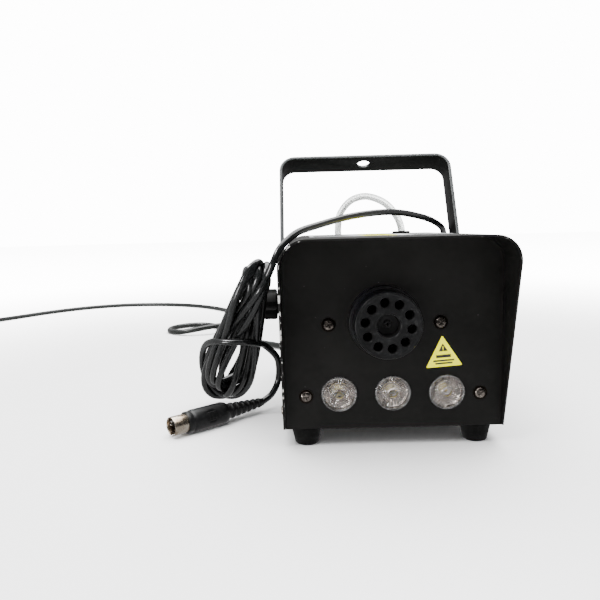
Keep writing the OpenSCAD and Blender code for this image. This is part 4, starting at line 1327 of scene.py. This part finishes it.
@dataclass
class Labels:
    """The yellow triangle on the panel and the printed sheet on the roof, with plain bars as print."""

    triangle_at: Point = (31.8, -120.02, 57.8)
    triangle_side: float = 23.0
    triangle_lean: float = 4.0
    roof_z: float = 133.52

    def triangle(self, name: str, radius: float, thick: float, corner: float) -> bpy.types.Object:
        """Cut a triangle with round corners that stands up in the XZ plane and faces the front."""
        rest()
        bpy.ops.mesh.primitive_circle_add(vertices=3, radius=radius * MM, fill_type="NGON")
        made = settle(bpy.context.object)
        made.name = name
        top = max(made.data.vertices, key=lambda v: v.co.length).co
        made.rotation_euler = (0.0, 0.0, math.pi / 2 - math.atan2(top.y, top.x))
        settle(made)
        edit(made, "VERT")
        bpy.ops.mesh.bevel(offset=corner * MM, segments=4, affect="VERTICES")
        edit(made)
        bpy.ops.mesh.extrude_region_move(TRANSFORM_OT_translate={"value": (0.0, 0.0, thick * MM)})
        clean(made)
        made.rotation_euler = (math.pi / 2, 0.0, 0.0)
        return settle(made)

    def caution(self) -> bpy.types.Object:
        """Make the triangle with its small dark sign, the sign's plain mark and three bars of print.

        Returns:
            The label.
        """
        radius = self.triangle_side / math.sqrt(3)
        made = LABEL_YELLOW.dress(self.triangle("panel_triangle", radius, 0.2, 1.0))
        sign = INK.dress(self.triangle("sign", 3.3, 0.22, 0.3))
        sign.location = (0.0, 0.0, 4.9 * MM)
        mark = [LABEL_YELLOW.dress(bar(f"mark_{k}", (-0.28, -0.24, z0), (0.28, 0, z1)))
                for k, (z0, z1) in enumerate(((3.75, 4.25), (4.6, 6.3)))]
        bars = [INK.dress(bar(f"print_{k}", (-w, -0.23, z), (w, 0, z + h)))
                for k, (w, z, h) in enumerate(((4.6, -0.9, 1.9), (6.6, -3.3, 1.1), (5.4, -5.0, 1.1)))]
        made = joined(made, settle(sign), *mark, *bars)
        made.rotation_euler = (0.0, -math.radians(self.triangle_lean), 0.0)
        made.location = tuple(c * MM for c in self.triangle_at)
        settle(made)
        return own(made, Body.MACHINE, LABEL_YELLOW, "label_yellow", "caution_label")

    def roof(self) -> bpy.types.Object:
        """Make the roof sheet with its blocks, bars and the round mark.

        Returns:
            The label.
        """
        z = self.roof_z
        made = LABEL_GREY.dress(bar("roof_print", (-50, -91, z), (46, -25, z + 0.2), 3.0, "Z", 5))
        blocks: list[tuple[float, float, float, float, Finish]] = [(-13, -88, 9, -28, LABEL_YELLOW)]
        blocks += [(-47, y, -21 - (k % 3) * 3, y + 1.6, INK) for k, y in enumerate(range(-86, -29, 5))]
        blocks += [(-11, y, 7 - (k % 2) * 4, y + 1.5, INK) for k, y in enumerate(range(-84, -50, 5))]
        blocks += [(20, y, 43 - (k % 4) * 3, y + 1.4, INK) for k, y in enumerate(range(-70, -29, 6))]
        blocks += [(11, -88, 17, -60, WHITE_INK), (20, -88, 43, -76, INK)]
        for k, (x0, y0, x1, y1, finish) in enumerate(blocks):
            lift = 0.2 if finish is not INK else 0.215
            made = joined(made, finish.dress(bar(f"block_{k}", (x0, y0, z + 0.1), (x1, y1, z + lift + 0.01))))
        return own(made, Body.MACHINE, LABEL_GREY, "label_grey", "top_label")

    def build(self) -> None:
        """Make both labels."""
        self.caution()
        self.roof()


# ---------- tank and tubes ----------


@dataclass
class Tank:
    """The fluid tank, its ribbed screw cap and the tube that feeds the pump."""

    low: Point = (-50.0, 29.2, 62.2)
    high: Point = (50.0, 83.0, 118.2)
    neck: Point = (-22.0, 58.1, 119.2)
    ribs: int = 30
    tube_d: float = 6.0
    tube_route: list[Point] = field(default_factory=lambda: [
        (-22, 58.1, 74.2), (-22, 58.1, 100), (-22, 58.1, 118), (-22, 58.1, 130), (-22, 58.1, 140),
        (-20, 56.1, 152), (-11, 49.1, 163), (2, 39.1, 166), (16, 29, 160), (25, 22, 149), (29, 19, 138),
        (29, 19, 128), (29, 19, 110), (34, 16, 80), (39, 9, 54), (37, 5, 40), (26, 5, 36)])

    def body(self) -> bpy.types.Object:
        """Blow the tank: a block with round corners, a neck and level marks on its back.

        Returns:
            The tank.
        """
        made = bar("fluid_tank", self.low, self.high, 8.0, "Z", 7)
        edit(made, "EDGE", lambda e: len(e.link_faces) == 2
             and abs(e.link_faces[0].normal.z - e.link_faces[1].normal.z) > 0.9)
        bpy.ops.mesh.bevel(offset=3.0 * MM, segments=4, affect="EDGES")
        rest()
        neck = turned("neck", tuple(c * MM for c in self.neck), Axis.Z, [
            (0, -5), (12.2, -5), (12.2, -1), (11.4, -0.4), (11.4, 7.6), (10.9, 8.0), (0, 8.0)], 48)
        cut(made, neck, how="UNION")
        marks = [bar(f"mark_{k}", (30, 82.6, 70 + 8 * k), (40 if k % 2 else 44, 83.0, 70.8 + 8 * k))
                 for k in range(6)]
        take(made)
        bpy.ops.object.shade_smooth_by_angle(angle=math.radians(35))
        made = joined(made, *marks)
        return own(made, Body.MACHINE, TANK_PLASTIC, "tank_plastic", "tank")

    def cap(self) -> bpy.types.Object:
        """Turn the cap and set its grip ribs.

        Returns:
            The cap.
        """
        place = tuple(c * MM for c in self.neck)
        made = turned("screw_cap", place, Axis.Z, [
            (13.0, 0), (15.0, 0), (15.2, 0.4), (15.2, 8.6), (14.9, 9.6), (14.2, 10.2), (13.2, 10.3),
            (7.5, 10.3), (6.9, 10.0), (6.6, 9.7), (3.3, 9.7), (3.3, 8.4), (13.0, 8.4), (13.0, 0)], 60)
        soften(made, 0.12 * MM)
        rib = bar("rib", (14.6, -0.55, 0.5), (15.95, 0.55, 8.5))
        soften(rib, 0.3 * MM)
        for k in range(self.ribs):
            turn = Matrix.Rotation(math.tau * k / self.ribs, 4, "Z")
            made = joined(made, copied(rib, f"rib_{k}", place, turn))
        bpy.data.objects.remove(rib)
        return own(made, Body.TANK_CAP, BLACK_PLASTIC, "black_plastic", "tank_cap")

    def tube(self) -> bpy.types.Object:
        """Lead the feed tube from the tank over to the roof and down to the pump."""
        made = Lead("fluid_tube", self.tube_d * MM, self.tube_route, 8).build()
        return own(made, Body.MACHINE, SILICONE, "silicone", "feed_tube")

    def grommet(self) -> bpy.types.Object:
        """Turn the rubber grommet in the roof."""
        made = turned("roof_grommet", (0.029, 0.019, 0.1305), Axis.Z, [
            (3.25, 0), (5.3, 0), (5.3, 3), (7.3, 3), (7.5, 3.3), (7.4, 4.1), (6.8, 4.7), (5.8, 4.8),
            (4.0, 4.7), (3.4, 4.4), (3.25, 4), (3.25, 0)], 48)
        return own(soften(made, 0.12 * MM), Body.MACHINE, RUBBER, "rubber", "tube_grommet")

    def build(self) -> None:
        """Make the tank, its cap, the tube and the grommet."""
        self.body()
        self.cap()
        self.tube()
        self.grommet()


# ---------- rear fittings ----------


@dataclass
class RearFittings:
    """The remote socket, the mains lead's gland and the mains switch on the rear wall."""

    wall: float = 85.0
    socket_x: float = 46.0
    fit_z: float = 37.0
    gland: Point = (-52.0, 85.0, 30.0)
    switch_x: float = 4.0

    def socket(self) -> bpy.types.Object:
        """Turn the socket and drill its five pin holes and its key.

        Returns:
            The socket.
        """
        x, z = self.socket_x, self.fit_z
        made = turned("round_socket", (x * MM, self.wall * MM, z * MM), Axis.Y, [
            (0, -14), (8.2, -14), (8.2, 0), (11.3, 0), (11.5, 0.3), (11.4, 1.2), (10.9, 1.6), (8.4, 1.6),
            (8.2, 1.9), (8.2, 3.6), (7.9, 4.0), (7.2, 4.0), (6.8, 3.6), (6.8, -5), (0, -5)], 64)
        tools = [bar("key_tool", (x - 1.2, self.wall - 4, z - 7.6), (x + 1.2, self.wall + 6, z - 6))]
        for k in range(-2, 3):
            a = math.radians(45 * k)
            spot = (x + 3.6 * math.sin(a), self.wall - 12, z + 3.6 * math.cos(a))
            tools.append(rod(f"pin_tool_{k + 2}", spot, Axis.Y, 0.9, 12.0, 16))
        cut(made, joined(*tools))
        return own(soften(made, 0.12 * MM), Body.MACHINE, BLACK_PLASTIC, "black_plastic", "remote_socket")

    def strain_relief(self) -> bpy.types.Object:
        """Turn the gland with its ribbed, tapered sleeve."""
        made = turned("mains_gland", tuple(c * MM for c in self.gland), Axis.Y, [
            (0, -7), (6.1, -7), (6.1, 0), (9.4, 0), (9.5, 0.4), (9.5, 3.1), (8.9, 4), (6.9, 4), (6.6, 5.6),
            (6.85, 6.2), (6.9, 8.8), (6.2, 9.3), (6.0, 11.1), (6.35, 11.6), (6.4, 13.8), (5.6, 14.3),
            (5.45, 16.1), (5.85, 16.6), (5.9, 18.8), (5.1, 19.3), (4.95, 21.1), (5.35, 21.6), (5.4, 23.8),
            (4.6, 24.4), (4.1, 26.8), (3.5, 27), (0, 27)], 48)
        take(made)
        bpy.ops.object.shade_smooth_by_angle(angle=math.radians(50))
        return own(made, Body.MACHINE, RUBBER, "rubber", "cord_gland")

    def switch(self) -> bpy.types.Object:
        """Make the switch's frame with the well for its rocker."""
        x, y, z = self.switch_x, self.wall, self.fit_z
        made = bar("switch_frame", (x - 11.5, y, z - 8.5), (x + 11.5, y + 1.8, z + 8.5), 1.5, "Y", 4)
        cut(made, bar("shell", (x - 9.6, y - 14, z - 6.6), (x + 9.6, y + 0.5, z + 6.6)), how="UNION")
        cut(made, bar("well_tool", (x - 8, y - 5.5, z - 5), (x + 8, y + 3, z + 5)))
        return own(soften(made, 0.35 * MM), Body.MACHINE, BLACK_PLASTIC, "black_plastic", "switch_body")

    def rocker(self) -> bpy.types.Object:
        """Make the red rocker, hollowed along its middle, with its two marks.

        Returns:
            The rocker.
        """
        made = bar("rocker_key", (-7.4, 0, -4.7), (7.4, 2.8, 4.7))
        edit(made)
        bpy.ops.mesh.subdivide(number_cuts=5)
        edit(made, "VERT", lambda v: v.co.y > 2.7 * MM and abs(v.co.x) < 2.6 * MM)
        bpy.ops.transform.translate(value=(0.0, -0.7 * MM, 0.0))
        rest()
        soften(made, 0.3 * MM)
        RED_PLASTIC.dress(made)
        stroke = WHITE_INK.dress(bar("stroke", (4.3, 2.5, -1.5), (4.8, 2.84, 1.5)))
        ring = turned("ring", (-4.6 * MM, 2.5 * MM, 0.0), Axis.Y, [
            (1.2, 0), (1.65, 0), (1.65, 0.34), (1.2, 0.34), (1.2, 0)], 32)
        made = joined(made, stroke, WHITE_INK.dress(ring))
        made.rotation_euler = (0.0, 0.0, math.radians(8))
        made.location = (self.switch_x * MM, (self.wall - 1.2) * MM, self.fit_z * MM)
        settle(made)
        return own(made, Body.ROCKER, RED_PLASTIC, "red_plastic", "switch_rocker")

    def build(self) -> None:
        """Make the socket, the gland, the switch and its rocker."""
        self.socket()
        self.strain_relief()
        self.switch()
        self.rocker()


# ---------- handset ----------


@dataclass
class Handset:
    """The wired remote behind the machine: two shells, a button and a lamp."""

    low: Point = (-30.0, 108.0, 0.0)
    high: Point = (66.0, 152.0, 24.0)
    corner: float = 9.0
    split: float = 12.0
    button_at: Point = (0.004, 0.130, 0.024)
    lamp_at: Point = (0.038, 0.130, 0.018)

    def half(self, name: str, z0: float, z1: float, edge_z: float, edge: float) -> bpy.types.Object:
        """Mould one shell and round its outer edge.

        Args:
            name: the shell's name.
            z0: its lower face.
            z1: its upper face.
            edge_z: the height of the face whose edge is rounded.
            edge: the rounding's radius.

        Returns:
            The shell.
        """
        made = bar(name, (*self.low[:2], z0), (*self.high[:2], z1), self.corner, "Z", 7)
        edit(made, "EDGE", lambda e: all(abs(v.co.z - edge_z * MM) < 10 * TINY for v in e.verts))
        bpy.ops.mesh.bevel(offset=edge * MM, segments=4, affect="EDGES")
        rest()
        return made

    def build(self) -> None:
        """Make the shells, the button and the lamp."""
        lower = self.half("handset_base", 0.0, self.split - 0.15, 0.0, 1.6)
        boot = turned("boot", (0.0645, 0.130, 0.012), Axis.X, [
            (0, 0), (5, 0), (5, 1.5), (4.9, 4.5), (4.3, 4.8), (4.3, 6.2), (4.7, 6.5), (4.5, 9), (3.9, 9.3),
            (3.9, 10.7), (4.2, 11), (4.0, 13.5), (3.5, 13.8), (3.4, 15.2), (3.6, 15.5), (3.3, 19.3),
            (2.7, 19.5), (0, 19.5)], 40)
        soften(lower, 0.2 * MM)
        own(joined(lower, boot), Body.MACHINE, BLACK_PLASTIC, "black_plastic", "handset_lower")
        upper = self.half("handset_top", self.split + 0.15, 24.0, 24.0, 2.6)
        ring = turned("ring_tool", self.button_at, Axis.Z, [
            (0, -6.6), (7.15, -6.6), (7.15, -2.6), (9.6, -0.7), (9.6, 2), (0, 2)], 48)
        hole = rod("lamp_tool", (38, 130, 18), Axis.Z, 2.6, 10.0)
        cut(upper, ring, hole)
        soften(upper, 0.25 * MM)
        own(upper, Body.MACHINE, BLACK_PLASTIC, "black_plastic", "handset_upper")
        button = turned("push_button", self.button_at, Axis.Z, [
            (0, -2.4), (6.9, -2.4), (7, 1.7), (6.7, 2.3), (6.1, 2.6), (5.4, 2.5), (3, 2.2), (0, 2.1)], 56)
        own(soften(button, 0.12 * MM), Body.BUTTON, RED_PLASTIC, "red_plastic", "handset_button")
        dome = [(2.5 * math.cos(math.radians(a)), 6 + 2.5 * math.sin(math.radians(a)))
                for a in range(0, 91, 15)]
        lamp = turned("handset_light", self.lamp_at, Axis.Z, [(0, 0), (2.3, 0), (2.5, 0.2), *dome], 40)
        own(soften(lamp, 0.05 * MM), Body.MACHINE, LAMP_GREEN, "lamp_green", "handset_lamp")


# ---------- plugs ----------


@dataclass
class RoundPlug:
    """The remote's five-pin plug: metal shell, pins, grip with an oval pad on two sides, ribbed boot."""

    tip: Point = (-147.5, -96.5, 8.0)
    turn: float = 41.9
    shell: float = 11.0
    grip_end: float = 45.0
    grip_roll: float = 72.0
    boot_end: float = 78.6
    radius: float = 8.0

    def placed(self, piece: bpy.types.Object) -> bpy.types.Object:
        """Move a piece made along X from the origin to where the plug lies."""
        piece.rotation_euler = (0.0, 0.0, math.radians(self.turn))
        piece.location = tuple(c * MM for c in self.tip)
        return settle(piece)

    def grip(self) -> bpy.types.Object:
        """Mould the grip and the boot, dish two sides of the grip, add a pad to each and roll it over.

        Returns:
            The grip.
        """
        r, s = self.radius, self.shell
        steps = [(0, s), (7.2, s), (7.6, s + 0.4), (7.6, s + 3.5), (7.4, s + 4), (7.5, s + 4.4),
                 (r - 0.1, s + 5), (r, s + 6), (r, 40), (7.8, 42), (7.2, 43.8), (6.4, 44.7),
                 (5.4, self.grip_end)]
        for k in range(6):
            x, rib = 46.5 + 5.1 * k, 5.75 - 0.42 * k
            steps += [(rib - 0.75, x), (rib - 0.75, x + 1.5), (rib - 0.15, x + 1.8), (rib, x + 2.4),
                      (rib, x + 3.4), (rib - 0.2, x + 4.0)]
        steps += [(3.0, 77.4), (2.9, self.boot_end), (0, self.boot_end)]
        made = turned("plug_grip", (0, 0, 0), Axis.X, steps, 56)
        for side in (-1, 1):
            cut(made, rod(f"dish_tool_{side + 1}", (29, -12, side * (r + 10.4)), Axis.Y, 12.0, 24.0, 72))
        soften(made, 0.2 * MM, 2, 35.0)
        pads = []
        for side in (-1, 1):
            z = sorted((side * 5.6, side * 7.3))
            pad = bar(f"pad_{side + 1}", (20.5, -3.2, z[0]), (37.5, 3.2, z[1]), 3.1, "Z", 8)
            pads.append(soften(pad, 0.6 * MM, 3))
            for k in range(3):
                line = bar(f"line_{side + 1}_{k}", (26 + 2.6 * k, -2.1, z[0]), (27 + 2.6 * k, 2.1, z[1]))
                line.location.z = side * 0.25 * MM
                pads.append(soften(settle(line), 0.2 * MM))
        made = joined(made, *pads)
        made.rotation_euler = (math.radians(self.grip_roll), 0.0, 0.0)
        return self.placed(settle(made))

    def metal(self) -> bpy.types.Object:
        """Turn the shell with its key, and set the pins in their disc.

        Returns:
            The metal end.
        """
        made = turned("plug_metal", (0, 0, 0), Axis.X, [
            (5.95, 0.3), (6.1, 0), (6.45, 0), (6.6, 0.3), (6.6, 11.3), (5.95, 11.3), (5.95, 0.3)], 56)
        cut(made, bar("key_tool", (-1, -1.3, -8), (7, 1.3, -5)))
        soften(made, 0.1 * MM)
        SHELL_NICKEL.dress(made)
        disc = turned("disc", (0, 0, 0), Axis.X, [
            (0, 5.2), (5.7, 5.2), (5.9, 5.5), (5.9, 11.2), (0, 11.2)], 40)
        parts = [BLACK_PLASTIC.dress(disc)]
        for k in range(-2, 3):
            a = math.radians(45 * k)
            pin = turned(f"pin_{k + 2}", (0, 3.6 * MM * math.sin(a), 3.6 * MM * math.cos(a)), Axis.X, [
                (0, 1.3), (0.45, 1.4), (0.7, 1.9), (0.7, 6), (0, 6)], 20)
            parts.append(NICKEL.dress(pin))
        return self.placed(joined(made, *parts))

    def build(self) -> list[bpy.types.Object]:
        """Make the plug.

        Returns:
            Its two pieces.
        """
        return [own(self.grip(), Body.MACHINE, PLUG_PVC, "black_plastic", "remote_plug"),
                own(self.metal(), Body.MACHINE, NICKEL, "nickel", "plug_shell")]


@dataclass
class MainsPlug:
    """The moulded mains plug with two flat blades and a round earth pin."""

    place: Point = (-568.0, 404.0, 8.0)
    turn: float = -104.0
    boot: float = 24.0
    face: float = 50.0

    def placed(self, piece: bpy.types.Object) -> bpy.types.Object:
        """Move a piece made along X from the origin to where the plug lies."""
        piece.rotation_euler = (0.0, 0.0, math.radians(self.turn))
        piece.location = tuple(c * MM for c in self.place)
        return settle(piece)

    def build(self) -> list[bpy.types.Object]:
        """Make the plug.

        Returns:
            Its two pieces.
        """
        made = bar("mains_plug_body", (self.boot, -12, -8), (self.face, 12, 12.5), 5.0, "X", 6)
        edit(made, "FACE", lambda f: f.normal.x < -0.9)
        bpy.ops.transform.resize(value=(1.0, 0.72, 0.72), center_override=(self.boot * MM, 0.0, 0.0))
        rest()
        soften(made, 0.8 * MM, 3)
        steps = [(0, 0), (3.6, 0), (4.1, 0.6)]
        for k in range(4):
            x, rib = 2.0 + 5.4 * k, 4.7 + 0.55 * k
            steps += [(rib - 0.5, x), (rib, x + 0.5), (rib, x + 2.9), (rib - 0.5, x + 3.4)]
        steps += [(6.2, self.boot), (6.2, self.boot + 1), (0, self.boot + 1)]
        boot = turned("mains_boot", (0, 0, 0), Axis.X, steps, 48)
        grips = [soften(bar(f"grip_{k}", (31 + 4 * k, -12.0, -4), (32.6 + 4 * k, 12.0, 8.5)), 0.3 * MM)
                 for k in range(4)]
        body = own(self.placed(joined(made, boot, *grips)), Body.MACHINE, PLUG_PVC, "black_plastic",
                   "mains_plug")
        blades = [bar(f"blade_{side + 1}", (self.face - 2, side * 6.35 - 0.75, -7),
                      (self.face + 16, side * 6.35 + 0.75, -0.7), 0.0) for side in (-1, 1)]
        earth = turned("earth", (self.face * MM, 0, 8 * MM), Axis.X, [
            (0, -2), (2.4, -2), (2.4, 17.2), (1.9, 18.6), (0.9, 19), (0, 19)], 32)
        pins = joined(*(soften(b, 0.5 * MM, 3) for b in blades), earth)
        pins.name = "mains_plug_pins"
        return [body, own(self.placed(pins), Body.MACHINE, NICKEL, "nickel", "mains_pins")]


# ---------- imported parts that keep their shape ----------


@dataclass
class PackedParts:
    """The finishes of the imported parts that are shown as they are."""

    finishes: dict[str, Finish] = field(default_factory=lambda: {
        "front_panel": PANEL_COAT, "rear_panel": PANEL_COAT, "chassis_pan": PANEL_COAT, "outlet_pipe": BRASS,
        "heater_block": ALUMINIUM, "heating_element": STEEL, "heater_jacket": GLASS_WOOL,
        "heater_brackets": ZINC, "thermostat": BLACK_PLASTIC, "thermal_fuse": CERAMIC,
        "pump_body": PUMP_PLASTIC, "pump_plunger": STEEL, "pump_bracket": ZINC, "delivery_tube": SILICONE,
        "suction_filter": STEEL, "control_board": BOARD_GREEN, "board_relay": RELAY_BLUE,
        "board_transformer": WINDING_YELLOW, "board_standoffs": NICKEL, "led_board": EMITTER,
        "led_holders": HOLDER_GREY, "handle_washers": RUBBER, "pivot_nuts": STEEL, "foot_screws": STEEL})

    def build(self) -> None:
        """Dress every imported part."""
        for name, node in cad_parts.items():
            self.finishes.get(name, BLACK_PLASTIC).dress(node)
            if not node.hide_render:
                LOG.info("%s keeps its packed shape", name)


def main() -> None:
    """Build the whole scene, piece by piece."""
    logging.basicConfig(level=logging.INFO, format="%(message)s")
    studio = Studio()
    studio.camera()
    leads = Leads()
    leads.remote(RoundPlug().build())
    leads.mains(MainsPlug().build())
    for assembly in (studio, Case(), Foot(), Nozzle(), Lights(), Handle(), Labels(), Tank(),
                     RearFittings(), Handset(), PackedParts()):
        LOG.info("building %s", type(assembly).__name__)
        assembly.build()
    rest()


if __name__ == "__main__":
    main()
